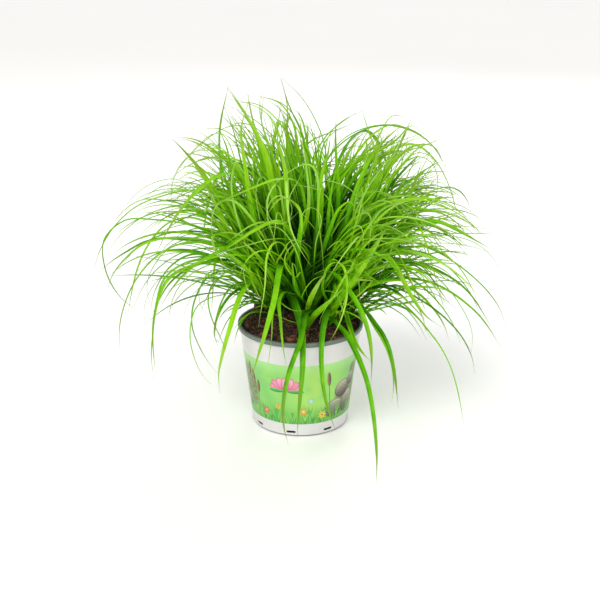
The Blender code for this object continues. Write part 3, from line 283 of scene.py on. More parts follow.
    (0, -50, 6.0, 0.7, [(328, 318), (338, 300), (352, 280), (368, 262), (384, 250), (398, 244)]),
    (3, -75, 6.0, 0.6, [(303, 330), (312, 318), (322, 308), (331, 300), (338, 290)]),
    (9, 90, 3.0, 0.5, [(240, 185), (222, 165), (208, 152), (196, 143), (185, 139)]),
    (2, 10, 3.0, 0.5, [(235, 210), (218, 195), (204, 186), (190, 182), (176, 186), (166, 196)]),
    (5, 20, 2.4, 0.45, [(222, 210), (205, 200), (190, 190), (178, 184), (165, 184), (152, 190), (140, 203)]),
    (5, 0, 2.2, 0.35, [(222, 236), (200, 232), (180, 231), (160, 235), (142, 243), (128, 256), (118, 270)]),
    (2, -40, 2.0, 0.35, [(228, 250), (205, 248), (182, 252), (165, 262), (150, 276), (140, 292), (134, 306)]),
    (2, -55, 2.4, 0.55, [(228, 262), (206, 266), (188, 276), (176, 290), (170, 306), (168, 322)]),
    (5, -30, 1.6, 0.4, [(232, 275), (212, 280), (198, 288), (189, 300), (184, 314)]),
    (4, 10, 4.8, 0.50, [(378, 248), (392, 225), (405, 203), (414, 183), (421, 166)]),
    (10, -30, 2.6, 0.72, [(360, 196), (372, 190), (385, 195), (405, 206), (422, 220), (434, 238), (446, 256), (452, 268)]),
    (4, 0, 2.0, 0.50, [(395, 172), (408, 158), (420, 153), (430, 157), (438, 170), (439, 186), (434, 204), (431, 222)]),
    (4, -40, 2.4, 0.60, [(372, 236), (385, 238), (398, 252), (407, 270), (414, 288), (417, 306)]),
    (12, -45, 2.2, 0.60, [(388, 214), (405, 212), (418, 222), (425, 240), (431, 262), (437, 283), (443, 303)]),
    (12, -35, 2.0, 0.62, [(392, 232), (408, 230), (420, 238), (427, 252), (431, 270), (432, 290)]),
    (7, 20, 2.2, 0.45, [(392, 262), (399, 240), (409, 218), (421, 198), (434, 180), (443, 170)]),
    (4, -15, 2.2, 0.50, [(388, 258), (402, 246), (416, 238), (432, 226), (446, 218), (460, 214)]),
    (5, -5, 7.0, 0.62, [(268, 292), (250, 266), (233, 240), (220, 216), (211, 196), (204, 182)]),
    (2, 0, 6.5, 0.58, [(262, 288), (243, 262), (228, 240), (216, 222), (208, 209)]),
    (5, 5, 6.0, 0.52, [(272, 285), (256, 255), (241, 228), (230, 206), (222, 190)]),
    (6, 10, 6.0, 0.46, [(280, 285), (264, 250), (250, 222), (240, 200), (232, 182)]),
    (5, 0, 6.5, 0.50, [(240, 235), (226, 210), (213, 189), (203, 173), (192, 159), (182, 148), (173, 139)]),
    (6, -58, 5.0, 0.74, [(283, 296), (274, 280), (264, 264), (252, 250), (240, 240)]),
    (2, -60, 4.6, 0.70, [(268, 300), (258, 284), (247, 270), (234, 258), (222, 250)]),
    (2, -60, 3.8, 0.72, [(272, 298), (263, 288), (252, 279), (240, 272), (229, 268)]),
    (6, -55, 4.2, 0.68, [(287, 296), (281, 278), (274, 262), (265, 246), (256, 232)]),
    (0, -48, 5.0, 0.66, [(330, 308), (346, 290), (362, 276), (382, 266), (402, 262)]),
    (0, -40, 4.6, 0.60, [(332, 304), (350, 280), (370, 262), (392, 252), (412, 248)]),
    (10, -45, 4.4, 0.62, [(346, 302), (360, 290), (378, 282), (398, 280), (416, 284)]),
    (6, -85, 1.5, 0.88, [(272, 232), (266, 214), (270, 200), (280, 193), (290, 198), (294, 210), (290, 222), (281, 228), (274, 222)]),
    (8, -82, 1.4, 0.90, [(316, 240), (322, 222), (318, 208), (308, 206), (301, 214), (300, 226), (305, 236)]),
    (3, -80, 1.4, 0.86, [(300, 262), (294, 246), (284, 232), (274, 226), (264, 228), (258, 236)]),
    (9, 30, 5.0, 0.50, [(250, 190), (238, 172), (225, 160), (213, 150), (202, 142), (190, 138), (175, 138)]),
    (6, 50, 1.8, 0.50, [(272, 165), (262, 152), (250, 147), (236, 147), (224, 143), (214, 137)]),
    (6, 60, 2.4, 0.60, [(262, 180), (254, 158), (248, 145), (242, 131), (233, 117), (224, 107)]),
    (9, 70, 3.2, 0.62, [(272, 170), (263, 146), (255, 130), (246, 116), (237, 103), (228, 89)]),
    (5, 30, 3.0, 0.50, [(240, 180), (230, 166), (221, 152), (212, 141), (202, 133), (191, 128)]),
    (6, 10, 3.4, 0.55, [(246, 185), (236, 168), (226, 154), (216, 146), (204, 142), (194, 144), (186, 150)]),
    (5, 15, 2.6, 0.50, [(236, 190), (224, 172), (210, 160), (197, 153), (186, 153), (178, 158)]),
    (9, 40, 2.8, 0.55, [(252, 170), (244, 150), (234, 136), (222, 128), (208, 127), (196, 131)]),
    (6, 45, 3.0, 0.50, [(258, 172), (250, 152), (240, 137), (231, 124), (222, 115), (214, 110)]),
    (2, -60, 2.6, 0.45, [(262, 292), (250, 283), (238, 284), (228, 291), (221, 304), (217, 318), (215, 335)]),
    (5, -40, 3.4, 0.45, [(272, 300), (262, 296), (252, 296), (243, 302), (236, 312)]),
    (2, -45, 3.2, 0.40, [(268, 304), (258, 300), (248, 302), (240, 309)]),
    (5, -30, 3.0, 0.50, [(274, 296), (264, 288), (252, 284), (240, 286), (230, 292)]),
    (2, -35, 3.0, 0.45, [(270, 302), (260, 292), (248, 290), (237, 294), (228, 302)]),
    (5, -52, 2.8, 0.40, [(266, 304), (252, 303), (240, 308), (230, 317), (223, 330), (219, 342)]),
    (2, -58, 2.4, 0.50, [(264, 308), (252, 312), (243, 320), (237, 331), (234, 343)]),
    (2, -20, 3.6, 0.50, [(255, 262), (240, 247), (222, 238), (205, 236), (190, 240), (178, 248)]),
    (5, -10, 3.2, 0.50, [(250, 252), (232, 238), (214, 230), (198, 228), (184, 232), (172, 240)]),
    (11, 60, 1.6, 0.5, [(430, 236), (452, 236), (474, 242), (490, 254), (500, 268), (506, 282)]),
    (7, 30, 2.0, 0.45, [(410, 250), (430, 254), (448, 266), (462, 280), (474, 298), (482, 318)]),
    (4, -30, 2.4, 0.5, [(400, 275), (418, 284), (432, 296), (444, 310), (454, 326), (460, 342)]),
    (10, -55, 2.0, 0.3, [(378, 296), (394, 300), (408, 310), (419, 324), (427, 340)]),
]


# ------------------------------------------------------------------ geometry
def soil_top(x, y):
    r = math.hypot(x, y)
    z = 95.8
    z += 3.0 * math.exp(-((x - 8) ** 2 / 34.0**2 + (y - 22) ** 2 / 26.0**2))
    z += 13.0 * math.exp(-((x + 38) ** 2 / 15.0**2 + (y - 27) ** 2 / 17.0**2))
    z += 0.7 * math.sin(0.31 * x + 0.8) * math.sin(0.37 * y - 0.5)
    fade = min(1.0, max(0.0, (57.5 - r) / 9.0))
    return 94.8 + (z - 94.8) * (0.25 + 0.75 * fade)


def sight(u, v, y):
    """The point at depth y that lies on (u, v) of the elevation."""
    c, s = math.cos(VIEW_PITCH), math.sin(VIEW_PITCH)
    right = (u - VIEW_CENTRE) / VIEW_SCALE
    up = -(v - VIEW_CENTRE) / VIEW_SCALE
    ray = np.array([right, c + up * s, -s + up * c])
    eye = np.array([0.0, -VIEW_DISTANCE * c, VIEW_AIM_Z + VIEW_DISTANCE * s])
    point = eye + ray * ((y - eye[1]) / ray[1])
    point[0] -= VIEW_SHIFT
    return point


def drawn_at(p):
    """Where points in space fall on the elevation."""
    p = np.asarray(p, float)
    c, s = math.cos(VIEW_PITCH), math.sin(VIEW_PITCH)
    up = p[..., 1] * s + (p[..., 2] - VIEW_AIM_Z) * c
    depth = VIEW_DISTANCE + p[..., 1] * c - (p[..., 2] - VIEW_AIM_Z) * s
    return np.stack([
        VIEW_CENTRE + VIEW_SCALE * (p[..., 0] + VIEW_SHIFT) / depth,
        VIEW_CENTRE - VIEW_SCALE * up / depth,
    ], axis=-1)


def resample(curve, spans):
    lengths = np.concatenate([[0], np.cumsum(np.linalg.norm(np.diff(curve, axis=0), axis=1))])
    at = np.linspace(0, lengths[-1], spans + 1)
    return np.stack([np.interp(at, lengths, curve[:, i]) for i in range(3)], axis=1)


def smooth_curve(points, spans):
    """A curve through the points, eased a little and cut into equal lengths."""
    pts = np.array(points, float)
    knots = np.concatenate([[0], np.cumsum(np.sqrt(np.linalg.norm(np.diff(pts, axis=0), axis=1)) + 1e-6)])
    ext = np.vstack([2 * pts[0] - pts[1], pts, 2 * pts[-1] - pts[-2]])
    k = np.concatenate([[knots[0] - (knots[1] - knots[0])], knots, [knots[-1] + knots[-1] - knots[-2]]])
    fine = []
    for i in range(1, len(ext) - 2):
        t = np.linspace(k[i], k[i + 1], 14, endpoint=False)[:, None]
        a1 = ext[i - 1] + (ext[i] - ext[i - 1]) * (t - k[i - 1]) / (k[i] - k[i - 1])
        a2 = ext[i] + (ext[i + 1] - ext[i]) * (t - k[i]) / (k[i + 1] - k[i])
        a3 = ext[i + 1] + (ext[i + 2] - ext[i + 1]) * (t - k[i + 1]) / (k[i + 2] - k[i + 1])
        b1 = a1 + (a2 - a1) * (t - k[i - 1]) / (k[i + 1] - k[i - 1])
        b2 = a2 + (a3 - a2) * (t - k[i]) / (k[i + 2] - k[i])
        fine.append(b1 + (b2 - b1) * (t - k[i]) / (k[i + 1] - k[i]))
    fine = resample(np.vstack(fine + [pts[-1:]]), 96)
    for _ in range(24):
        fine[1:-1] += 0.5 * (0.5 * (fine[:-2] + fine[2:]) - fine[1:-1])
    return resample(fine, spans)


def lay_out(base, lean, points, tip_y, early, spans, rise):
    """A blade's centre line: up along its shoot, then through the drawn points."""
    start = np.array(base, float)
    first = start + rise * np.array([lean[0], lean[1], 1.0]) / math.sqrt(1 + lean[0] ** 2 + lean[1] ** 2)
    drawn = [drawn_at(start)] + [np.array(p, float) for p in points]
    run = np.concatenate([[0], np.cumsum([np.linalg.norm(b - a) for a, b in zip(drawn, drawn[1:])])])
    run /= run[-1]
    aside = drawn[-1][0] - drawn[0][0]
    planar = min(1.0, max(0.0, (abs(aside) - 40.0) / 60.0))
    route = [start, first]
    for t, p in list(zip(run, drawn))[1:]:
        ahead = 1 - (1 - t) ** early if early > 1 else 0.5 * t + 0.5 * t * t * (3 - 2 * t)
        across = (p[0] - drawn[0][0]) / aside if planar else 0.0
        share = planar * (0.75 * across + 0.25 * t) + (1 - planar) * ahead
        route.append(sight(p[0], p[1], start[1] + (tip_y - start[1]) * share))
    return smooth_curve(route, spans)


def shoot_base(index):
    x, y, _, _ = SHOOTS[index]
    reach = 3.4
    high = max(
        soil_top(x + dx * reach, y + dy * reach)
        for dx, dy in [(0, 0)] + [(math.cos(a), math.sin(a)) for a in np.linspace(0, 2 * math.pi, 12)]
    )
    return np.array([x, y, high + 0.5])


def wall_radius(z):
    return POT_FOOT_RADIUS + (POT_TOP_WALL_RADIUS - POT_FOOT_RADIUS) * (z - 1.0) / (POT_HEIGHT - LIP_HEIGHT - 1.0)


def unit(v):
    return v / np.maximum(np.linalg.norm(v, axis=-1, keepdims=True), 1e-12)


def through(values, spans):
    """Catmull-Rom through evenly spaced rows, `spans` steps in all."""
    values = np.asarray(values, float)
    ext = np.vstack([2 * values[:1] - values[1:2], values, 2 * values[-1:] - values[-2:-1]])
    at = np.linspace(0, len(values) - 1, spans + 1)
    i = np.minimum(at.astype(int), len(values) - 2)
    t = (at - i)[:, None]
    a, b, c, d = ext[i], ext[i + 1], ext[i + 2], ext[i + 3]
    return 0.5 * (2 * b + (c - a) * t + (2 * a - 5 * b + 4 * c - d) * t**2 + (3 * b - a - 3 * c + d) * t**3)


# -------------------------------------------------------------------- blades
SECTION = np.array([-1.0, -0.5, 0.0, 0.5, 1.0, 0.5, 0.0, -0.5])  # across the width
UPPER = np.array([0, 1, 1, 1, 0, 0, 0, 0], float)
LOWER = np.array([0, 0, 0, 0, 0, 1, 1, 1], float)
THICK = np.array([0, 0.55, 0.5, 0.55, 0, 0.55, 1.2, 0.55])


def painted_shade_and_light(curve):
    """Painted shade and light: how much deeper the green is made towards the middle of the plant and near its foot,
    where the blades shade each other, and how much paler it is made high up.
    """
    x, y, z = (curve - [20.0, 24.0, 158.0]).T
    deep = 0.80 * np.exp(-(x / 46.0) ** 2 - (y / 50.0) ** 2 - (z / np.where(z > 0, 56.0, 42.0)) ** 2)
    low = 0.40 * np.exp(-((x + 8.0) / 34.0) ** 2 - ((y + 6.0) / 30.0) ** 2 - ((z + 54.0) / 20.0) ** 2)
    return deep + low - 0.20 * np.clip((z - 18.0) / 60.0, 0, 1)


class Batch:
    """Blades gathered into one mesh: keeled, tapered, closed at both ends."""

    def __init__(self):
        self.rings, self.ends = [], []
        self.count = 0

    def blade(self, curve, across, widths, fold, tint, dry=0.0, thick=0.34):
        n = len(curve)
        along = unit(np.gradient(curve, axis=0))
        across = unit(across - along * (across * along).sum(1, keepdims=True))
        face = np.cross(along, across)
        t = np.linspace(0, 1, n)
        w = np.asarray(widths, float)[:, None]
        fold = np.broadcast_to(np.asarray(fold, float), (n,))[:, None]
        half = w / 2
        lift = half * fold * (np.abs(SECTION) + 0.22 * np.abs(SECTION) * (1 - np.abs(SECTION)))
        lift = lift - half * fold * 0.5
        skin = np.minimum(thick, 0.22 * w + 0.04) * THICK
        lift = lift + skin * UPPER - skin * LOWER
        ring = (
            curve[:, None, :]
            + across[:, None, :] * (half * SECTION)[:, :, None]
            + face[:, None, :] * lift[:, :, None]
        )
        facts = np.empty((n, 8, 5))
        facts[:, :, 0] = t[:, None]
        facts[:, :, 1] = SECTION[None, :]
        # the tint takes on the painted shade of the plant's middle and foot and the painted light of its top
        facts[:, :, 2] = np.maximum(0.0, tint - painted_shade_and_light(curve))[:, None]
        facts[:, :, 3] = dry
        # how far the blade lies out from the plant's middle; it strengthens the painted highlight on the midrib and the
        # olive tails
        facts[:, :, 4] = np.clip((np.linalg.norm(curve - [8.0, 10.0, 160.0], axis=1) - 88.0) / 45.0, 0, 1)[:, None]
        self.rings.append((ring, facts))
        self.count += 1

    def mesh(self, name, mat):
        verts, facts, faces, uvs, sharp = [], [], [], [], []
        rows = max(1, math.ceil(self.count / 30))
        cols = math.ceil(self.count / rows)
        total = 0
        caps = []
        for k, (ring, fact) in enumerate(self.rings):
            n = len(ring)
            verts.append(ring.reshape(-1, 3))
            facts.append(fact.reshape(-1, 5))
            i = np.arange(n - 1)[:, None]
            j = np.arange(8)[None, :]
            j2 = (j + 1) % 8
            quad = np.stack([total + i * 8 + j, total + i * 8 + j2, total + (i + 1) * 8 + j2, total + (i + 1) * 8 + j], axis=-1)
            faces.append(quad.reshape(-1, 4))
            col, row = k % cols, k // cols
            u0, u1 = (col + 0.06) / cols, (col + 0.94) / cols
            v0, v1 = (row + 0.02) / rows, (row + 0.98) / rows
            ua, ub = u0 + (u1 - u0) * j / 8, u0 + (u1 - u0) * (j + 1) / 8
            va, vb = v0 + (v1 - v0) * i / (n - 1), v0 + (v1 - v0) * (i + 1) / (n - 1)
            ua, ub, va, vb = np.broadcast_arrays(ua, ub, va, vb)
            uvs.append(np.stack([
                np.stack([ua, va], -1), np.stack([ub, va], -1), np.stack([ub, vb], -1), np.stack([ua, vb], -1)
            ], axis=2).reshape(-1, 2))
            caps.append((total, total + (n - 1) * 8, ring, fact, (u0, u1, v0, v1)))
            total += n * 8
        quads = np.vstack(faces)
        verts, facts = list(verts), list(facts)
        triangles, tri_uvs, extra, extra_facts = [], [], [], []
        for low, high, ring, fact, (u0, u1, v0, v1) in caps:
            centre_low, centre_high = total + len(extra), total + len(extra) + 1
            step = ring[-1].mean(0) - ring[-2].mean(0)
            extra.append(ring[0].mean(0))
            extra.append(ring[-1].mean(0) + step * 0.4)
            extra_facts.append(fact[0, 2] * [1, 0, 1, 1, 1])
            extra_facts.append(fact[-1, 2] * [1, 0, 1, 1, 1])
            for j in range(8):
                j2 = (j + 1) % 8
                triangles.append((low + j2, low + j, centre_low))
                triangles.append((high + j, high + j2, centre_high))
                a, b, m = u0 + (u1 - u0) * j / 8, u0 + (u1 - u0) * (j + 1) / 8, u0 + (u1 - u0) * (j + 0.5) / 8
                tri_uvs += [(b, v0), (a, v0), (m, v0 - 0.004)]
                tri_uvs += [(a, v1), (b, v1), (m, v1 + 0.004)]
        verts.append(np.array(extra))
        facts.append(np.array(extra_facts))
        verts, facts = np.vstack(verts), np.vstack(facts)
        mesh = bpy.data.meshes.new(name)
        mesh.from_pydata((verts * MM).tolist(), [], quads.tolist() + triangles)
        mesh.shade_smooth()
        for i, key in enumerate(("along", "across", "tint", "dry", "outer")):
            made = mesh.attributes.new(key, "FLOAT", "POINT")
            made.data.foreach_set("value", facts[:, i].astype(np.float32))
        layer = mesh.uv_layers.new(name="OFBake")
        layer.uv.foreach_set("vector", np.vstack(uvs + [np.array(tri_uvs)]).astype(np.float32).ravel())
        ends = np.empty(len(mesh.edges) * 2, np.int32)
        mesh.edges.foreach_get("vertices", ends)
        ends = ends.reshape(-1, 2)
        ridge = (ends.max(1) < total) & (ends[:, 0] % 8 == ends[:, 1] % 8) & (ends[:, 0] % 2 == 0)
        made = mesh.attributes.new("sharp_edge", "BOOLEAN", "EDGE")
        made.data.foreach_set("value", ridge)
        mesh.materials.append(mat)
        mesh.update()
        obj = bpy.data.objects.new(name, mesh)
        scene.collection.objects.link(obj)
        return obj


def taper(n, width, base, tip=0.22, widest=0.28, shape=2.3):
    t = np.linspace(0, 1, n)
    grow = np.minimum(1.0, t / widest)
    grow = grow * grow * (3 - 2 * grow)
    fall = np.where(t < 0.4, 1.0, 1 - (np.maximum(t - 0.4, 0) / 0.6) ** shape)
    return np.maximum(tip, (base + (width - base) * grow) * fall)


def sides(curve, turn, wobble=0.0, phase=0.0):
    """Width directions along a blade, turning slowly about it."""
    out = curve[-1] - curve[0]
    out[2] = 0
    if np.linalg.norm(out) < 8:
        out = np.array([0.0, -1.0, 0.0])
    out /= np.linalg.norm(out)
    side = np.cross([0, 0, 1.0], out)
    along = unit(np.gradient(curve, axis=0))
    across = unit(side - along * (along @ side)[:, None])
    face = np.cross(along, across)
    t = np.linspace(0, 1, len(curve))
    a = (turn * t + wobble * np.sin(phase + 5.0 * t))[:, None]
    return across * np.cos(a) + face * np.sin(a)


def sides_facing(curve, phase):
    """Width directions of a blade that turns its face to the front."""
    along = unit(np.gradient(curve, axis=0))
    turn = (0.35 * np.sin(phase + 4.0 * np.linspace(0, 1, len(curve))))[:, None]
    across = unit(np.cross(along, [0.0, -math.cos(VIEW_PITCH), math.sin(VIEW_PITCH)]))
    return across * np.cos(turn) + np.cross(along, across) * np.sin(turn)


def ripple(curve, rng, size):
    """Small natural waviness, none at the base."""
    n = len(curve)
    t = np.linspace(0, 1, n)
    out = curve.copy()
    for axis in range(3):
        wave = sum(rng.uniform(-1, 1) * np.sin(rng.uniform(3, 9) * t + rng.uniform(0, 6.28)) for _ in range(2))
        wave = wave - wave[0]
        out[:, axis] += size * wave * np.minimum(1, t * 4) * (0.6 if axis == 2 else 1.0)
    return out


def into_soil(curve, depth=3.0):
    """The curve, begun a little below the soil."""
    start = curve[0] - unit((curve[1] - curve[0])[None])[0] * depth
    return np.vstack([start[None], curve])


def rings_of(node):
    """Cross-section triangles of a plain blade node, from its base to its tip, in mm."""
    mesh = node.data
    co = np.empty(len(mesh.vertices) * 3)
    mesh.vertices.foreach_get("co", co)
    co = co.reshape(-1, 3) / MM
    _, first, index = np.unique(np.round(co, 2), axis=0, return_index=True, return_inverse=True)
    points = co[first]
    index = index.reshape(-1)
    mesh.calc_loop_triangles()
    tris = {tuple(sorted(index[v] for v in t.vertices)) for t in mesh.loop_triangles}
    tris = [t for t in tris if len(set(t)) == 3]
    near = {i: set() for i in range(len(points))}
    for a, b, c in tris:
        near[a] |= {b, c}
        near[b] |= {a, c}
        near[c] |= {a, b}
    best = None
    for t in tris:
        seen, layer, layers = set(t), set(t), [sorted(t)]
        while True:
            following = set().union(*(near[i] for i in layer)) - seen
            if not following:
                break
            if len(following) != 3:
                layers = None
                break
            layers.append(sorted(following))
            seen |= following
            layer = following
        if layers and len(seen) == len(points):
            foot = points[layers[0]].mean(0)
            score = math.hypot(foot[0], foot[1]) + abs(foot[2] - 98.0)
            if best is None or score < best[0]:
                best = (score, layers)
    if best is None:
        raise RuntimeError(f"{node.name} isn't a plain blade")
    centre, across, width, previous = [], [], [], None
    for layer in best[1]:
        ring = points[layer]
        gaps = [(np.linalg.norm(ring[a] - ring[b]), a, b) for a, b in ((0, 1), (0, 2), (1, 2))]
        w, a, b = max(gaps)
        keel = ring[3 - a - b]
        middle = (ring[a] + ring[b]) / 2
        direction = (ring[b] - ring[a]) / w
        centre.append((middle + keel) / 2)
        across.append((direction, middle - keel))
        width.append(w)
    centre = np.array(centre)
    along = unit(np.gradient(centre, axis=0))
    fixed = []
    for (direction, up), tangent in zip(across, along):
        if np.dot(np.cross(tangent, direction), up) < 0:
            direction = -direction
        fixed.append(direction)
    return centre, np.array(fixed), np.array(width)


# ----------------------------------------------------------------- materials
class Graph:
    """A Principled material whose inputs come from small node sums."""

    def __init__(self, name):
        self.mat = bpy.data.materials.new(name)
        self.mat.use_nodes = True
        self.tree = self.mat.node_tree
        self.shader = self.tree.nodes["Principled BSDF"]
        self.output = self.tree.nodes["Material Output"]

    def node(self, kind, **props):
        made = self.tree.nodes.new(kind)
        for key, value in props.items():
            setattr(made, key, value)
        return made

    def put(self, socket, value):
        if isinstance(value, bpy.types.NodeSocket):
            self.tree.links.new(value, socket)
        elif isinstance(value, (tuple, list)) and socket.type == "RGBA":
            socket.default_value = (*value[:3], 1.0)
        else:
            socket.default_value = value

    def math(self, operation, a, b=0.0, c=None, clamp=False):
        made = self.node("ShaderNodeMath", operation=operation, use_clamp=clamp)
        self.put(made.inputs[0], a)
        self.put(made.inputs[1], b)
        if c is not None:
            self.put(made.inputs[2], c)
        return made.outputs[0]

    def mix(self, share, a, b, blend="MIX"):
        made = self.node("ShaderNodeMix", data_type="RGBA", blend_type=blend)
        self.put(made.inputs[0], share)
        self.put(made.inputs[6], a)
        self.put(made.inputs[7], b)
        return made.outputs[2]

    def ramp(self, value, stops, ease="LINEAR"):
        made = self.node("ShaderNodeValToRGB")
        made.color_ramp.interpolation = ease
        elements = made.color_ramp.elements
        while len(elements) < len(stops):
            elements.new(0.5)
        for element, (at, colour) in zip(elements, stops):
            element.position = at
            element.color = (*colour, 1) if isinstance(colour, tuple) else (colour,) * 3 + (1,)
        self.put(made.inputs[0], value)
        return made.outputs[0]

    def step(self, value, low, high):
        """0 below low, 1 above high, smooth between; low may be over high."""
        made = self.node("ShaderNodeMapRange", interpolation_type="SMOOTHSTEP", clamp=True)
        if low <= high:
            ends = (low, high, 0.0, 1.0)
        else:
            ends = (high, low, 1.0, 0.0)
        self.put(made.inputs[0], value)
        for socket, end in zip(made.inputs[1:5], ends):
            socket.default_value = end
        return made.outputs[0]

    def attribute(self, name):
        return self.node("ShaderNodeAttribute", attribute_name=name, attribute_type="GEOMETRY").outputs["Fac"]

    def position(self):
        return self.node("ShaderNodeTexCoord").outputs["Object"]

    def noise(self, scale, detail=3.0, rough=0.55, vector=None, distortion=0.0):
        made = self.node("ShaderNodeTexNoise")
        self.put(made.inputs["Vector"], vector if vector is not None else self.position())
        made.inputs["Scale"].default_value = scale
        made.inputs["Detail"].default_value = detail
        made.inputs["Roughness"].default_value = rough
        made.inputs["Distortion"].default_value = distortion
        return made.outputs["Fac"]

    def combine(self, x, y, z=0.0):
        made = self.node("ShaderNodeCombineXYZ")
        for socket, value in zip(made.inputs, (x, y, z)):
            self.put(socket, value)
        return made.outputs[0]

    def bump(self, height, distance, strength=1.0, normal=None):
        made = self.node("ShaderNodeBump")
        made.inputs["Strength"].default_value = strength
        made.inputs["Distance"].default_value = distance
        self.put(made.inputs["Height"], height)
        if normal is not None:
            self.put(made.inputs["Normal"], normal)
        return made.outputs[0]


def blade_material(name, stops, through_colour, through_share=0.28):
    g = Graph(name)
    along, across, tint, dry = (g.attribute(k) for k in ("along", "across", "tint", "dry"))
    mottle = g.noise(90.0, 3.0)
    shade = g.math("ADD", tint, g.math("MULTIPLY", g.math("SUBTRACT", mottle, 0.5), 0.45))
    # painted shade and light: a little deeper in the lower half, inside the tuft, paler towards the tip, out in the
    # light
    shade = g.math("ADD", shade, g.math("MULTIPLY", g.math("SUBTRACT", along, 0.40), 0.33))
    # painted light and shade: one half of the fold lighter than the other, as if lit from one side
    shade = g.math("ADD", shade, g.math("MULTIPLY", across, 0.09))
    colour = g.ramp(shade, stops)
    # pale sheath end
    colour = g.mix(g.math("MULTIPLY", g.step(along, 0.07, 0.0), 0.25), colour, (0.42, 0.52, 0.12))
    # pale midrib, partly its own colour and partly a painted highlight that is stronger on paler blades and on blades
    # out from the middle; and fine veins
    rib_and_highlight = g.step(g.math("ABSOLUTE", across), 0.16, 0.0)
    outer = g.attribute("outer")
    rib_and_highlight = g.math("MULTIPLY", rib_and_highlight, g.math("MULTIPLY_ADD", outer, 0.24, g.math("MULTIPLY_ADD", tint, 0.60, 0.10)))
    colour = g.mix(rib_and_highlight, colour, (0.36, 0.74, 0.04))
    vein = g.math("SINE", g.math("MULTIPLY", across, 30.0))
    vein = g.math("MULTIPLY", g.math("ADD", vein, 1.0), 0.5)
    colour = g.mix(g.math("MULTIPLY", vein, 0.10), colour, (0.02, 0.10, 0.0))
    # blades lying out from the plant's middle end in a duller olive
    tail = g.math("MULTIPLY", g.step(along, 0.62, 1.0), g.math("MULTIPLY_ADD", tint, -0.60, 0.85))
    colour = g.mix(g.math("MULTIPLY", tail, outer), colour, (0.19, 0.29, 0.040))
    # yellowed, then straw-coloured tips on the blades that are drying
    end = g.math("MULTIPLY", g.step(g.math("ADD", along, g.math("MULTIPLY", g.math("SUBTRACT", g.noise(140.0, 2.0), 0.5), 0.25)), 0.72, 1.0), dry)
    colour = g.mix(end, colour, (0.40, 0.38, 0.12))
    g.put(g.shader.inputs["Base Color"], colour)
    rough = g.math("MULTIPLY_ADD", g.noise(220.0, 2.0), 0.22, 0.30)
    g.put(g.shader.inputs["Roughness"], rough)
    g.shader.inputs["Specular IOR Level"].default_value = 0.17
    g.put(g.shader.inputs["Normal"], g.bump(g.math("ADD", vein, g.math("MULTIPLY", g.noise(900.0, 2.0), 0.6)), 0.00006, 0.8))
    lit = g.node("ShaderNodeBsdfTranslucent")
    g.put(lit.inputs["Color"], g.mix(g.math("MULTIPLY_ADD", tint, 0.55, 0.22), colour, through_colour))
    both = g.node("ShaderNodeMixShader")
    both.inputs[0].default_value = through_share
    g.tree.links.new(g.shader.outputs[0], both.inputs[1])
    g.tree.links.new(lit.outputs[0], both.inputs[2])
    g.tree.links.new(both.outputs[0], g.output.inputs["Surface"])
    return g.mat


BLADE_STOPS = [
    (0.0, (0.006, 0.062, 0.000)),
    (0.22, (0.048, 0.245, 0.000)),
    (0.45, (0.148, 0.520, 0.001)),
    (0.70, (0.320, 0.740, 0.008)),
    (0.90, (0.460, 0.840, 0.018)),
    (1.0, (0.520, 0.900, 0.140)),
]
leaf_mat = blade_material("leaf_green", BLADE_STOPS, (0.36, 0.74, 0.0))


def sheath_material():
    g = Graph("shoot_green")
    along, across, tint = g.attribute("along"), g.attribute("across"), g.attribute("tint")
    mottle = g.noise(160.0, 3.0)
    shade = g.math("ADD", along, g.math("MULTIPLY", g.math("SUBTRACT", mottle, 0.5), 0.5))
    shade = g.math("ADD", shade, g.math("MULTIPLY", g.math("SUBTRACT", tint, 0.5), 0.4))
    colour = g.ramp(shade, [
        (0.0, (0.16, 0.10, 0.035)),
        (0.14, (0.40, 0.44, 0.10)),
        (0.4, (0.26, 0.54, 0.02)),
        (1.0, (0.12, 0.42, 0.00)),
    ])
    vein = g.math("MULTIPLY", g.math("ADD", g.math("SINE", g.math("MULTIPLY", across, 44.0)), 1.0), 0.5)
    colour = g.mix(g.math("MULTIPLY", vein, 0.16), colour, (0.06, 0.18, 0.01))
    g.put(g.shader.inputs["Base Color"], colour)
    g.put(g.shader.inputs["Roughness"], g.math("MULTIPLY_ADD", mottle, 0.2, 0.32))
    g.put(g.shader.inputs["Normal"], g.bump(vein, 0.00012, 0.8))
    return g.mat


sheath_mat = sheath_material()


def soil_material(name, dark, light, accent, seed_scale):
    g = Graph(name)
    tint = g.attribute("tint")
    grain = g.noise(seed_scale, 5.0, 0.7)
    fine = g.noise(seed_scale * 5, 3.0, 0.7)
    shade = g.math("ADD", g.math("MULTIPLY", grain, 0.7), g.math("MULTIPLY", g.math("SUBTRACT", tint, 0.5), 0.7))
    colour = g.ramp(shade, [(0.15, dark), (0.55, light), (0.9, accent)])
    colour = g.mix(g.step(fine, 0.58, 0.75), colour, (0.012, 0.007, 0.005))
    g.put(g.shader.inputs["Base Color"], colour)
    g.put(g.shader.inputs["Roughness"], g.math("MULTIPLY_ADD", grain, 0.5, 0.45, clamp=True))
    g.shader.inputs["Specular IOR Level"].default_value = 0.55
    g.put(g.shader.inputs["Normal"], g.bump(g.math("ADD", grain, g.math("MULTIPLY", fine, 0.5)), 0.0011, 0.9))
    return g.mat


bed_mat = soil_material("soil_bed", (0.006, 0.003, 0.003), (0.026, 0.010, 0.007), (0.075, 0.026, 0.014), 420.0)
crumb_mat = soil_material("soil_crumbs", (0.010, 0.004, 0.003), (0.120, 0.034, 0.018), (0.56, 0.22, 0.10), 520.0)


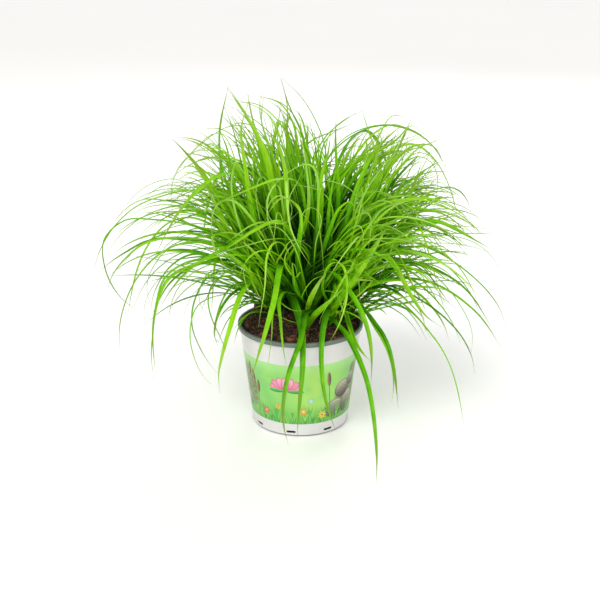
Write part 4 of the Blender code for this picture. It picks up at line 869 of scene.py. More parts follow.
def fibre_material():
    g = Graph("soil_fibres")
    tint = g.attribute("tint")
    streak = g.noise(700.0, 3.0)
    shade = g.math("ADD", tint, g.math("MULTIPLY", g.math("SUBTRACT", streak, 0.5), 0.5))
    colour = g.ramp(shade, [(0.0, (0.09, 0.04, 0.018)), (0.5, (0.26, 0.15, 0.055)), (1.0, (0.52, 0.40, 0.19))])
    g.put(g.shader.inputs["Base Color"], colour)
    g.put(g.shader.inputs["Roughness"], g.math("MULTIPLY_ADD", streak, 0.3, 0.55))
    g.put(g.shader.inputs["Normal"], g.bump(streak, 0.0002, 0.8))
    return g.mat


fibre_mat = fibre_material()


def plastic_material():
    g = Graph("pot_plastic")
    cloud = g.noise(55.0, 3.0)
    colour = g.ramp(cloud, [(0.3, (0.105, 0.130, 0.112)), (0.7, (0.140, 0.168, 0.148))])
    dust = g.math("MULTIPLY", g.step(g.noise(260.0, 4.0, 0.7), 0.60, 0.78), 0.35)
    colour = g.mix(dust, colour, (0.10, 0.065, 0.045))
    g.put(g.shader.inputs["Base Color"], colour)
    g.put(g.shader.inputs["Roughness"], g.math("MULTIPLY_ADD", g.noise(190.0, 3.0), 0.22, 0.30))
    fine = g.noise(1900.0, 2.0)
    g.put(g.shader.inputs["Normal"], g.bump(fine, 0.00012, 0.5))
    return g.mat


pot_mat = plastic_material()


def print_material():
    """The sleeve's generic meadow print: white bands, green field, grass, stones, reeds and blossoms."""
    g = Graph("sleeve_print")
    where = g.node("ShaderNodeSeparateXYZ")
    g.put(where.inputs[0], g.position())
    x, y, z = where.outputs
    angle = g.math("ARCTAN2", x, g.math("MULTIPLY", y, -1.0))
    s_all = g.math("MULTIPLY", angle, 51.0)
    s = g.math("WRAP", g.math("ADD", s_all, 0.0), 80.1, -80.1)
    t = g.math("MULTIPLY", z, 1000.0)
    flat = g.combine(s, t)

    def soft(vector_scale, detail=2.0, shift=0.0):
        return g.noise(vector_scale, detail, 0.5, vector=g.combine(g.math("ADD", s, shift), t))

    def ellipse(cs, ct, a, b, turn=0.0, edge=0.12):
        """1 inside, 0 outside, and the height above the shape's middle as a share."""
        ds, dt = g.math("SUBTRACT", s, cs), g.math("SUBTRACT", t, ct)
        c, n = math.cos(turn), math.sin(turn)
        p = g.math("DIVIDE", g.math("ADD", g.math("MULTIPLY", ds, c), g.math("MULTIPLY", dt, n)), a)
        q = g.math("DIVIDE", g.math("SUBTRACT", g.math("MULTIPLY", dt, c), g.math("MULTIPLY", ds, n)), b)
        far = g.math("SQRT", g.math("ADD", g.math("MULTIPLY", p, p), g.math("MULTIPLY", q, q)))
        return g.step(far, 1.0 + edge, 1.0 - edge), far, p, q

    # field
    centre = g.math("MULTIPLY", g.step(g.math("ABSOLUTE", g.math("SUBTRACT", s, 14.0)), 44.0, 4.0), 1.0)
    field = g.mix(centre, (0.240, 0.660, 0.150), (0.440, 0.790, 0.150))
    field = g.mix(g.step(soft(0.055, 2.0), 0.40, 0.68), field, (0.310, 0.730, 0.150))
    field = g.mix(g.math("MULTIPLY", g.step(t, 62.0, 76.0), 0.65), field, (0.500, 0.860, 0.330))
    field = g.mix(g.math("MULTIPLY", g.step(t, 40.0, 16.0), 0.8), field, (0.120, 0.500, 0.070))

    # soft far foliage, to the left and to the right
    for cs, ct, a, b, turn in ((-58, 44, 15, 27, 0.15), (52, 34, 20, 20, -0.2), (60, 58, 8, 12, 0.2)):
        shape, far, p, q = ellipse(cs, ct, a, b, turn, 0.30)
        leafy = g.noise(0.42, 4.0, 0.65, vector=flat, distortion=0.6)
        tone = g.ramp(leafy, [
            (0.30, (0.030, 0.055, 0.022)),
            (0.45, (0.120, 0.190, 0.055)),
            (0.58, (0.300, 0.330, 0.110)),
            (0.75, (0.560, 0.560, 0.300)),
        ])
        ragged = g.step(g.math("ADD", g.math("SUBTRACT", 1.0, far), g.math("MULTIPLY", g.math("SUBTRACT", leafy, 0.5), 1.1)), 0.05, 0.28)
        field = g.mix(g.math("MULTIPLY", ragged, 0.92), field, tone)

    # rounded stones
    for cs, ct, a, b, turn, tone in (
        (37, 26, 12.5, 10.0, 0.1, 0.0), (54, 29, 10, 12, -0.2, 1.0), (45, 45, 10.5, 9.0, 0.25, 1.0), (58, 51, 7.5, 7.0, 0.0, 0.0), (-66, 27, 8, 7.5, 0.1, 1.0),
    ):
        shape, far, p, q = ellipse(cs, ct, a, b, turn, 0.05)
        speck = g.noise(0.9, 3.0, 0.6, vector=flat)
        lit = g.math("ADD", g.math("MULTIPLY", q, 0.42), g.math("MULTIPLY", speck, 0.75))
        stone = g.ramp(lit, [
            (0.05, (0.040, 0.036, 0.028)),
            (0.32, (0.190, 0.170, 0.125)),
            (0.62, (0.480, 0.430, 0.300) if tone else (0.370, 0.360, 0.280)),
            (0.85, (0.760, 0.720, 0.580)),
        ])
        rim = g.step(far, 0.80, 1.0)
        stone = g.mix(g.math("MULTIPLY", rim, 0.75), stone, (0.030, 0.040, 0.020))
        field = g.mix(shape, field, stone)

    # reed heads on thin stalks
    for cs, ct, tall, turn in ((-50, 55, 8.0, 0.08), (-44, 47, 7.0, -0.06), (-56, 62, 7.5, -0.10), (27, 59, 7.5, 0.10), (66, 62, 7.5, -0.08)):
        stalk = g.math("MULTIPLY",
                       g.step(g.math("ABSOLUTE", g.math("SUBTRACT", s, g.math("MULTIPLY_ADD", g.math("SUBTRACT", t, ct), -turn, cs))), 0.55, 0.30),
                       g.step(t, ct + 1, ct))
        field = g.mix(stalk, field, (0.090, 0.300, 0.040))
        head, far, p, q = ellipse(cs, ct, 1.9, tall, turn, 0.10)
        brown = g.mix(g.step(p, -0.5, 0.7), (0.330, 0.190, 0.075), (0.075, 0.040, 0.022))
        field = g.mix(head, field, brown)

    # a pale pink lily: outer petals first, then the ones in front
    lily_s, lily_t = -14.0, 50.0
    for lean, long, wide, tone in (
        (1.25, 9.5, 3.4, 0), (-1.25, 9.5, 3.4, 0), (0.85, 9.8, 3.6, 0), (-0.85, 9.8, 3.6, 0),
        (0.42, 9.6, 3.6, 1), (-0.42, 9.6, 3.6, 1), (0.0, 9.2, 3.8, 2),
    ):
        cs, ct = lily_s + math.sin(lean) * long * 0.9, lily_t + math.cos(lean) * long * 0.62
        shape, far, p, q = ellipse(cs, ct, long * 0.78, wide, math.pi / 2 - lean * 1.12, 0.06)
        pink = g.mix(g.step(p, -0.9, 0.8), (0.870, 0.160, 0.300), (0.930, 0.470, 0.600) if tone else (0.880, 0.330, 0.480))
        pink = g.mix(g.math("MULTIPLY", g.step(far, 0.80, 0.97), 0.85), pink, (0.560, 0.040, 0.150))
        field = g.mix(shape, field, pink)
    heart, far, p, q = ellipse(lily_s, lily_t + 2.6, 3.0, 2.2, 0.0, 0.12)
    field = g.mix(heart, field, g.mix(g.step(q, -0.8, 0.8), (0.220, 0.120, 0.330), (0.560, 0.430, 0.640)))
    for cs, a in ((lily_s - 8.5, 7.5), (lily_s + 9.5, 8.0)):
        shape, far, p, q = ellipse(cs, lily_t - 1.6, a, 1.9, 0.0, 0.10)
        field = g.mix(shape, field, g.mix(g.step(q, -0.9, 0.7), (0.030, 0.260, 0.050), (0.130, 0.560, 0.120)))

    # grass: three rows of pointed blades, each with its own height and lean
    for row, (period, low, tall, wide, back, fore) in enumerate((
        (2.3, 13.0, 25.0, 0.38, (0.060, 0.330, 0.035), (0.140, 0.500, 0.060)),
        (1.7, 12.0, 18.0, 0.36, (0.120, 0.460, 0.060), (0.330, 0.700, 0.120)),
        (2.7, 11.0, 13.0, 0.42, (0.022, 0.220, 0.030), (0.080, 0.420, 0.070)),
    )):
        lean = g.math("MULTIPLY", g.math("SINE", g.math("MULTIPLY", s, 0.39 + 0.17 * row)), 0.22)
        at = g.math("DIVIDE", g.math("ADD", s, g.math("MULTIPLY", g.math("SUBTRACT", t, low), lean)), period)
        cell = g.math("FLOOR", g.math("ADD", at, 0.37 * row))
        inside = g.math("SUBTRACT", g.math("FRACT", g.math("ADD", at, 0.37 * row)), 0.5)
        chance = g.node("ShaderNodeTexWhiteNoise", noise_dimensions="1D")
        g.put(chance.inputs["W"], g.math("ADD", cell, 11.3 * row))
        height = g.math("MULTIPLY_ADD", chance.outputs["Value"], tall * 0.75, tall * 0.35)
        up = g.math("DIVIDE", g.math("SUBTRACT", t, low), height)
        room = g.math("MULTIPLY", g.math("SUBTRACT", 1.0, up), wide)
        blade = g.step(g.math("SUBTRACT", room, g.math("ABSOLUTE", inside)), 0.0, 0.08)
        field = g.mix(blade, field, g.mix(chance.outputs["Value"], back, fore))

    # small blossoms among the grass
    for cs, ct, size, petals, colour, core in (
        (-36, 24, 4.4, 6, (0.800, 0.150, 0.110), (0.860, 0.520, 0.300)),
        (-22, 31, 3.6, 5, (0.840, 0.610, 0.060), (0.620, 0.220, 0.040)),
        (3, 27, 4.6, 6, (0.860, 0.420, 0.060), (0.900, 0.790, 0.250)),
        (10, 38, 3.6, 5, (0.420, 0.740, 0.760), (0.850, 0.820, 0.330)),
        (22, 22, 5.2, 7, (0.800, 0.690, 0.080), (0.560, 0.330, 0.050)),
        (72, 25, 4.4, 6, (0.830, 0.280, 0.340), (0.870, 0.700, 0.260)),
        (-77, 33, 4.0, 5, (0.820, 0.820, 0.700), (0.830, 0.560, 0.080)),
    ):
        ds, dt = g.math("SUBTRACT", s, cs), g.math("SUBTRACT", t, ct)
        far = g.math("SQRT", g.math("ADD", g.math("MULTIPLY", ds, ds), g.math("MULTIPLY", dt, dt)))
        turn = g.math("ARCTAN2", dt, ds)
        edge = g.math("MULTIPLY_ADD", g.math("COSINE", g.math("MULTIPLY", turn, float(petals))), 0.24 * size, 0.74 * size)
        shape = g.step(g.math("SUBTRACT", edge, far), -0.15, 0.15)
        tone = g.mix(g.step(g.math("DIVIDE", far, edge), 0.75, 1.0), colour, tuple(c * 0.45 for c in colour))
        field = g.mix(shape, field, tone)
        field = g.mix(g.step(far, 0.30 * size, 0.24 * size), field, core)

    # the band's edges, and the unprinted paper above and below it
    white = g.mix(g.noise(40.0, 2.0), (0.760, 0.750, 0.730), (0.820, 0.812, 0.800))
    band = g.math("MULTIPLY", g.step(t, 13.0, 13.5), g.step(t, 76.2, 75.7))
    colour = g.mix(band, white, field)
    # ink sits a little unevenly on the fibres
    ink = g.noise(650.0, 2.0)
    colour = g.mix(g.math("MULTIPLY", g.step(ink, 0.55, 0.8), 0.06), colour, (0.90, 0.90, 0.88))
    colour = g.mix(1.0, colour, (0.80, 0.80, 0.80), blend="MULTIPLY")
    g.put(g.shader.inputs["Base Color"], colour)
    g.put(g.shader.inputs["Roughness"], g.math("MULTIPLY_ADD", g.noise(120.0, 3.0), 0.18, 0.24))
    ripple_bump = g.bump(g.noise(28.0, 2.0), 0.0010, 0.35)
    g.put(g.shader.inputs["Normal"], g.bump(g.noise(1400.0, 2.0), 0.00005, 0.5, normal=ripple_bump))
    return g.mat


sleeve_mat = print_material()


# ------------------------------------------------------------- pot and sleeve
def spun(name, profile, sides_count, mat, closed=False, wave=None):
    """A profile of (r, z) turned about Z; its open ends lie on the axis, or it is closed on itself."""
    bm = bmesh.new()
    loops = []
    for r, z in profile:
        if r < 1e-6:
            loops.append([bm.verts.new((0, 0, z * MM))])
            continue
        loop = []
        for i in range(sides_count):
            a = 2 * math.pi * i / sides_count
            rr = r + (wave(a, z, r) if wave else 0.0)
            loop.append(bm.verts.new((rr * math.cos(a) * MM, rr * math.sin(a) * MM, z * MM)))
        loops.append(loop)
    pairs = list(zip(loops, loops[1:])) + ([(loops[-1], loops[0])] if closed else [])
    for low, high in pairs:
        for i in range(sides_count):
            j = (i + 1) % sides_count
            if len(low) == 1:
                bm.faces.new((low[0], high[j], high[i]))
            elif len(high) == 1:
                bm.faces.new((low[i], low[j], high[0]))
            else:
                bm.faces.new((low[i], low[j], high[j], high[i]))
    bmesh.ops.recalc_face_normals(bm, faces=bm.faces)
    mesh = bpy.data.meshes.new(name)
    bm.to_mesh(mesh)
    bm.free()
    mesh.shade_smooth()
    mesh.materials.append(mat)
    obj = bpy.data.objects.new(name, mesh)
    scene.collection.objects.link(obj)
    return obj


def slot_cutter():
    bm = bmesh.new()
    for i in range(DRAIN_COUNT):
        a = DRAIN_FIRST_ANGLE + i * 2 * math.pi / DRAIN_COUNT
        out = Vector((math.cos(a), math.sin(a), 0))
        side = Vector((-math.sin(a), math.cos(a), 0))
        outline = []
        for k in range(16):
            b = 2 * math.pi * k / 16
            reach = (DRAIN_WIDTH - (DRAIN_HIGH - DRAIN_LOW)) / 2
            outline.append((
                math.copysign(reach, math.cos(b)) + 0.5 * (DRAIN_HIGH - DRAIN_LOW) * math.cos(b),
                (DRAIN_LOW + DRAIN_HIGH) / 2 + 0.5 * (DRAIN_HIGH - DRAIN_LOW) * math.sin(b),
            ))
        near = [bm.verts.new((out * (POT_FOOT_RADIUS - 5) + side * p + Vector((0, 0, q))) * MM) for p, q in outline]
        far = [bm.verts.new((out * (POT_FOOT_RADIUS + 6) + side * p + Vector((0, 0, q))) * MM) for p, q in outline]
        for k in range(16):
            j = (k + 1) % 16
            bm.faces.new((near[k], near[j], far[j], far[k]))
        bm.faces.new(near)
        bm.faces.new(far)
    bmesh.ops.recalc_face_normals(bm, faces=bm.faces)
    mesh = bpy.data.meshes.new("slot_cutter")
    bm.to_mesh(mesh)
    bm.free()
    obj = bpy.data.objects.new("slot_cutter", mesh)
    scene.collection.objects.link(obj)
    return obj


def cut(obj, cutter):
    step = obj.modifiers.new("slots", "BOOLEAN")
    step.operation = "DIFFERENCE"
    step.solver = "EXACT"
    step.object = cutter
    bpy.context.view_layer.update()
    made = bpy.data.meshes.new_from_object(obj.evaluated_get(bpy.context.evaluated_depsgraph_get()))
    obj.modifiers.clear()
    old = obj.data
    obj.data = made
    made.name = obj.name
    bpy.data.meshes.remove(old)


def keep_corners(obj, degrees):
    """Smooth shading that stays crisp at edges sharper than this."""
    obj.data.shade_smooth()
    obj.data.set_sharp_from_angle(angle=math.radians(degrees))


def build_pot():
    top, lip_low = POT_HEIGHT, POT_HEIGHT - LIP_HEIGHT
    inner_low = wall_radius(POT_FLOOR) - POT_WALL
    inner_top = POT_TOP_WALL_RADIUS - POT_WALL + 1.2

    def arc(cx, cz, r, a0, a1, n):
        return [(cx + r * math.cos(a0 + (a1 - a0) * k / n), cz + r * math.sin(a0 + (a1 - a0) * k / n)) for k in range(n + 1)]

    profile = [(0, POT_FLOOR), (inner_low - 1.6, POT_FLOOR)]
    profile += [(inner_low - 0.5, POT_FLOOR + 0.25), (inner_low, POT_FLOOR + 1.0)]
    for z in (20, 40, 60, 80, lip_low):
        profile.append((wall_radius(z) - POT_WALL, z))
    profile += arc(inner_top + 0.6, top - 0.7, 0.7, math.pi, math.pi / 2, 4)
    profile += arc(POT_RIM_RADIUS - 0.8, top - 0.8, 0.8, math.pi / 2, 0, 5)
    profile += [(POT_RIM_RADIUS - 0.05, lip_low + 1.0)]
    profile += arc(POT_RIM_RADIUS - 0.55, lip_low + 0.45, 0.45, 0, -math.pi / 2, 4)
    profile += [(wall_radius(lip_low) + 0.15, lip_low)]
    for z in (80, 60, 40, 20, 6):
        profile.append((wall_radius(z), z))
    profile += arc(POT_FOOT_RADIUS - 1.0, 1.0, 1.0, 0, -math.pi / 2, 4)
    profile += [(POT_FOOT_RADIUS - 4.5, 0.0), (POT_FOOT_RADIUS - 5.5, 0.7), (0, 0.7)]
    pot = spun("pot_body", profile, 192, pot_mat)

    # the sleeve: printed paper, a hair loose, with a glued lap at the back
    def wave(a, z, r):
        p = Vector((math.cos(a) * 2.2, math.sin(a) * 2.2, z * 0.03))
        loose = 0.16 * max(0.0, noise.noise(p) + 0.25) * math.sin(math.pi * (z - SLEEVE_LOW) / (SLEEVE_HIGH - SLEEVE_LOW)) ** 0.5 if SLEEVE_LOW < z < SLEEVE_HIGH else 0.0
        lap = 0.42 / (1 + math.exp(-(a - math.radians(86)) * 260)) / (1 + math.exp((a - math.radians(96)) * 60))
        return loose + lap

    levels = np.linspace(SLEEVE_LOW, SLEEVE_HIGH, 36)
    profile = [(wall_radius(z) + SLEEVE_GAP, z) for z in levels]
    profile += [(wall_radius(z) + SLEEVE_GAP + SLEEVE_THICKNESS, z) for z in levels[::-1]]
    sleeve = spun("sleeve", profile, 360, sleeve_mat, closed=True, wave=wave)
    cutter = slot_cutter()
    cut(pot, cutter)
    cut(sleeve, cutter)
    bpy.data.objects.remove(cutter, do_unlink=True)
    keep_corners(pot, 40)
    keep_corners(sleeve, 40)
    for piece, node, slot in ((pot, "pot", "pot_plastic"), (sleeve, "printed_sleeve", "sleeve_print")):
        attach(piece, "root")
        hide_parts(node)


build_pot()


# ---------------------------------------------------------------------- soil
def rough_top(x, y):
    """The soil's surface with its clods."""
    lumps = noise.fractal(Vector((x * 0.16, y * 0.16, 3.1)), 0.9, 2.1, 4)
    clods = noise.voronoi(Vector((x * 0.22, y * 0.22, 1.7)))[0][0]
    edge = min(1.0, max(0.0, (54.5 - math.hypot(x, y)) / 5.0))
    return soil_top(x, y) + edge * (1.1 * lumps + 1.3 * (0.45 - clods))


def build_soil():
    around, rings = 180, 62
    edge = wall_radius(94.0) - POT_WALL - 0.55
    floor_z = POT_FLOOR + 0.5
    bm = bmesh.new()
    loops = []
    for r, z in ((wall_radius(floor_z) - POT_WALL - 2.0, floor_z), (wall_radius(floor_z + 3) - POT_WALL - 0.6, floor_z + 3)):
        loops.append([bm.verts.new((r * math.cos(a) * MM, r * math.sin(a) * MM, z * MM)) for a in np.linspace(0, 2 * math.pi, around, endpoint=False)])
    for k in range(rings):
        r = edge * (1 - k / rings)
        loop = []
        for i in range(around):
            a = 2 * math.pi * i / around
            x, y = r * math.cos(a), r * math.sin(a)
            loop.append(bm.verts.new((x * MM, y * MM, rough_top(x, y) * MM)))
        loops.append(loop)
    for low, high in zip(loops, loops[1:]):
        for i in range(around):
            j = (i + 1) % around
            bm.faces.new((low[i], low[j], high[j], high[i]))
    bottom = bm.verts.new((0, 0, floor_z * MM))
    crown = bm.verts.new((0, 0, rough_top(0, 0) * MM))
    for i in range(around):
        j = (i + 1) % around
        bm.faces.new((loops[0][j], loops[0][i], bottom))
        bm.faces.new((loops[-1][i], loops[-1][j], crown))
    bmesh.ops.recalc_face_normals(bm, faces=bm.faces)
    mesh = bpy.data.meshes.new("soil_bed")
    bm.to_mesh(mesh)
    bm.free()
    tint = mesh.attributes.new("tint", "FLOAT", "POINT")
    tint.data.foreach_set("value", [0.5 + 0.5 * noise.noise(v.co * 160) for v in mesh.vertices])
    mesh.shade_smooth()
    mesh.materials.append(bed_mat)
    bed = bpy.data.objects.new("soil_bed", mesh)
    scene.collection.objects.link(bed)

    # crumbs of bark and peat, bedded in the surface
    rng = random.Random(41)
    shapes = []
    for level in (1, 2):
        bm = bmesh.new()
        bmesh.ops.create_icosphere(bm, subdivisions=level, radius=1.0)
        shapes.append((np.array([v.co for v in bm.verts]), np.array([[v.index for v in f.verts] for f in bm.faces])))
        bm.free()
    verts, faces, tints, total = [], [], [], 0
    for k in range(2500):
        r = 54.3 * math.sqrt(rng.random())
        a = rng.uniform(0, 2 * math.pi)
        x, y = r * math.cos(a), r * math.sin(a)
        size = 0.6 + 1.7 * rng.random() ** 2.0
        if k % 9 == 0:
            size *= 1.55
        base, tris = shapes[1 if size > 1.1 else 0]
        shape = base.copy()
        seed = Vector((rng.uniform(-50, 50), rng.uniform(-50, 50), rng.uniform(-50, 50)))
        for i, p in enumerate(shape):
            shape[i] = p * (1 + 0.42 * noise.noise(Vector(p) * 1.4 + seed))
        stretch = np.array([rng.uniform(0.7, 1.6), rng.uniform(0.6, 1.1), rng.uniform(0.45, 0.9)])
        turn = np.array(Vector((rng.uniform(-1, 1), rng.uniform(-1, 1), rng.uniform(-1, 1))).to_track_quat("Z", "Y").to_matrix())
        shape = (shape * stretch * size) @ turn.T
        z = min(rough_top(x, y), soil_top(x, y) + 2.0) + 0.25 * size
        r_max = edge - 1.2 - size
        if r > r_max:
            x, y = x * r_max / r, y * r_max / r
        verts.append(shape + np.array([x, y, z]))
        faces.append(tris + total)
        tints.append(np.full(len(shape), min(1.0, max(0.0, rng.gauss(0.50, 0.30)))))
        total += len(shape)
    mesh = bpy.data.meshes.new("soil_crumbs")
    mesh.from_pydata((np.vstack(verts) * MM).tolist(), [], np.vstack(faces).tolist())
    tint = mesh.attributes.new("tint", "FLOAT", "POINT")
    tint.data.foreach_set("value", np.concatenate(tints).astype(np.float32))
    mesh.materials.append(crumb_mat)
    crumbs = bpy.data.objects.new("soil_crumbs", mesh)
    scene.collection.objects.link(crumbs)

    # root and straw fibres, lying on the crumbs
    verts, faces, tints, total = [], [], [], 0
    for k in range(260):
        if k % 3 == 0:
            x, y = rng.gauss(-34, 12), rng.gauss(22, 13)
        else:
            r, a = 52 * math.sqrt(rng.random()), rng.uniform(0, 2 * math.pi)
            x, y = r * math.cos(a), r * math.sin(a)
        if math.hypot(x, y) > 50:
            continue
        heading, long = rng.uniform(0, 2 * math.pi), rng.uniform(5, 17)
        curl = rng.uniform(-0.16, 0.16)
        spans = 9
        hop = rng.uniform(0.2, 2.6) if rng.random() < 0.45 else 0.15
        points = []
        for i in range(spans + 1):
            t = i / spans
            rr = math.hypot(x, y)
            if rr > 53.6:
                x, y = x * 53.6 / rr, y * 53.6 / rr
            points.append((x, y, soil_top(x, y) + 1.0 + hop * math.sin(math.pi * t) + 0.3 * math.sin(9 * t + k)))
            x += math.cos(heading) * long / spans
            y += math.sin(heading) * long / spans
            heading += curl + rng.uniform(-0.12, 0.12)
        points = np.array(points)
        along = unit(np.gradient(points, axis=0))
        one = unit(np.cross(along, [0.0, 0.0, 1.0]))
        two = np.cross(along, one)
        thick = rng.uniform(0.08, 0.20)
        t = np.linspace(0, 1, spans + 1)[:, None]
        body = thick * (1 - 0.7 * np.abs(2 * t - 1) ** 3)
        corner = [points + (one * math.cos(b) + two * math.sin(b)) * body for b in (0, 2.094, 4.189)]
        verts.append(np.stack(corner, axis=1).reshape(-1, 3))
        for i in range(spans):
            for j in range(3):
                a, b = total + i * 3 + j, total + i * 3 + (j + 1) % 3
                faces.append((a, b, b + 3, a + 3))
        faces.append((total, total + 2, total + 1))
        end = total + spans * 3
        faces.append((end, end + 1, end + 2))
        tints.append(np.full((spans + 1) * 3, rng.uniform(0, 1)))
        total += (spans + 1) * 3
    mesh = bpy.data.meshes.new("soil_fibres")
    mesh.from_pydata((np.vstack(verts) * MM).tolist(), [], faces)
    tint = mesh.attributes.new("tint", "FLOAT", "POINT")
    tint.data.foreach_set("value", np.concatenate(tints).astype(np.float32))
    mesh.shade_smooth()
    mesh.materials.append(fibre_mat)
    fibres = bpy.data.objects.new("soil_fibres", mesh)
    scene.collection.objects.link(fibres)
    for piece in (bed, crumbs, fibres):
        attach(piece, "root")
    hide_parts("root_ball")


build_soil()


# -------------------------------------------------------------------- shoots
def sheath_piece(index):
    """Three-sided shoot base; the clasping scales round its foot are made with the shoot's blades."""
    x, y, lean_x, lean_y = SHOOTS[index]
    base = shoot_base(index)
    lean = np.array([lean_x, lean_y, 1.0])
    rng = random.Random(900 + index)
    bm = bmesh.new()
    along_key = bm.verts.layers.float.new("along")
    across_key = bm.verts.layers.float.new("across")
    tint_key = bm.verts.layers.float.new("tint")
    around, levels = 18, 16
    spin, tint = rng.uniform(0, 6.28), rng.random()
    loops = []
    for i in range(levels + 1):
        t = i / levels
        at = base + lean * (SHEATH_HEIGHT * 1.25 * t - 3.0)
        r = 3.15 * (1.0 + 0.10 * math.sin(math.pi * min(1, t * 2.2)) - 0.42 * t)
        loop = []
        for j in range(around):
            a = 2 * math.pi * j / around
            three = 1 + 0.13 * math.cos(3 * (a - spin - 0.5 * t)) + 0.03 * math.cos(7 * a + 5 * t)
            v = bm.verts.new(Vector((at + r * three * np.array([math.cos(a), math.sin(a), 0])) * MM))
            v[along_key], v[across_key], v[tint_key] = t, math.sin(a), tint
            loop.append(v)
        loops.append(loop)
    for low, high in zip(loops, loops[1:]):
        for j in range(around):
            k = (j + 1) % around
            bm.faces.new((low[j], low[k], high[k], high[j]))
    bm.faces.new(loops[0][::-1])
    bm.faces.new(loops[-1])
    bmesh.ops.recalc_face_normals(bm, faces=bm.faces)
    mesh = bpy.data.meshes.new(f"sheath_{index + 1:02d}")
    bm.to_mesh(mesh)
    bm.free()
    mesh.shade_smooth()
    mesh.materials.append(sheath_mat)
    obj = bpy.data.objects.new(mesh.name, mesh)
    scene.collection.objects.link(obj)
    return obj


graph = bpy.context.evaluated_depsgraph_get()
rng = random.Random(7)
placed = []  # every blade's centre line


def fold_of(n, base=1.0, body=0.42, tip=0.7):
    t = np.linspace(0, 1, n)
    return np.interp(t, [0, 0.12, 0.3, 0.8, 1.0], [base, base * 0.75, body, body, tip])


for index in range(len(SHOOTS)):
    node = NODES[f"shoot_{index + 1:02d}"]
    tree = BVHTree.FromObject(node, graph)
    batch = Batch()
    for number, (owner, tip_y, width, points) in enumerate(INNER):
        if owner != index:
            continue
        base, lean = shoot_base(index), SHOOTS[index][2:]
        around = number * 1.57
        best = None
        for step, swing in TRIES:
            start = base + np.array([lean[0], lean[1], 1.0]) * 9.0
            start = start + 0.5 * np.array([math.cos(around + swing), math.sin(around + swing), 0])
            curve = lay_out(start, lean, points, tip_y + step, 1.0, INNER_SPANS, 14.0)
            off = max(tree.find_nearest(Vector(p * MM))[3] / MM for p in curve[[5, 7, 9]])
            if best is None or off < best[0]:
                best = (off, curve)
            if off < 0.7:
                break
        curve = through(best[1], 44)
        curve = ripple(curve, rng, 0.35)
        # the lower end runs down inside the sheath
        foot = shoot_base(index) + np.array([lean[0], lean[1], 1.0]) * 1.0
        curve = resample(np.vstack([foot[None], curve]), 46)
        n = len(curve)
        across = sides(curve, 0.9 * math.sin(number * 2.4), 0.25, number)
        widths = taper(n, width, 4.0, widest=0.24)
        tint = min(1.0, max(0.0, 0.42 + 0.20 * math.sin(number * 2.1) + rng.uniform(-0.16, 0.16)))
        batch.blade(curve, across, widths, fold_of(n), tint, dry=0.6 if rng.random() < 0.12 else 0.12)
        placed.append(curve)
    # short clasping scales round the foot of the shoot
    for k in range(3):
        a = 2.1 * k + index
        out = np.array([math.cos(a), math.sin(a), 0])
        base = shoot_base(index)
        lean = np.array([*SHOOTS[index][2:], 1.0])
        tall = rng.uniform(26, 44)
        t = np.linspace(0, 1, 22)[:, None]
        curve = base + out * (2.2 + 1.2 * t + 6.0 * t**3) + lean * (tall * t - 3.0)
        across = np.tile(np.cross([0, 0, 1.0], out), (22, 1))
        widths = np.interp(t[:, 0], [0, 0.3, 0.75, 1], [5.4, 5.8, 3.4, 0.4])
        batch.blade(curve, across, widths, np.interp(t[:, 0], [0, 0.5, 1], [1.15, 0.9, 0.5]), rng.uniform(0.45, 0.95), dry=0.5)
    blades = batch.mesh(f"shoot_blades_{index + 1:02d}", leaf_mat)
    sheath = sheath_piece(index)
    for piece in (blades, sheath):
        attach(piece, "root")
        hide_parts(node.name)

# ------------------------------------------------------------------- leaves
FRONT = {14, 15, 16, 17, 18, 19}
PALE = {9: 0.5, 14: 0.56, 15: 0.31, 16: 0.30, 17: 0.35, 18: 0.37, 19: 0.43, 22: 0.6}
for name in sorted(NODES):
    if not name.startswith("leaf_"):
        continue
    number = int(name[5:])
    centre, across, width = rings_of(NODES[name])
    n = 56
    curve = through(centre, n - 1)
    side = through(across, n - 1)
    widths = through(width[:, None], n - 1)[:, 0]
    t = np.linspace(0, 1, n)
    if number in FRONT:
        widths = widths * np.interp(t, [0, 0.3, 0.55, 0.8, 1.0], [1.15, 1.1, 0.92, 1.0, 1.3])
    widths = np.maximum(0.2, widths * np.where(t > 0.86, np.maximum(0, (1 - t) / 0.14) ** 0.8, 1.0))
    curve = ripple(curve, rng, 0.30)
    start = curve[0] - unit((curve[1] - curve[0])[None])[0] * 3.0
    curve = np.vstack([start[None], curve])
    side = np.vstack([side[:1], side])
    widths = np.concatenate([[widths[0] * 1.15], widths])
    tint = PALE.get(number, min(0.9, max(0.1, 0.48 + 0.22 * math.sin(number * 1.7) + rng.uniform(-0.12, 0.12))))
    batch = Batch()
    batch.blade(curve, side, widths, fold_of(n + 1, 0.9, 0.40, 0.6), tint, dry=0.6 if number % 5 == 1 else 0.15, thick=0.38)
    piece = batch.mesh(f"blade_{number:02d}", leaf_mat)
    placed.append(curve)
    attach(piece, "root")
    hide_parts(name)

# ------------------------------------------------- fine blades past the solids
LOW = CAD_LOW / MM - 9.0
HIGH = CAD_HIGH / MM + 9.0


def inside_box(curve, margin=3.0):
    return bool((curve > LOW + margin).all() and (curve[:, :2] < HIGH[:2] - margin).all() and (curve[:, 2] < HIGH[2] - margin).all() and curve[:, 2].min() > 2.0)


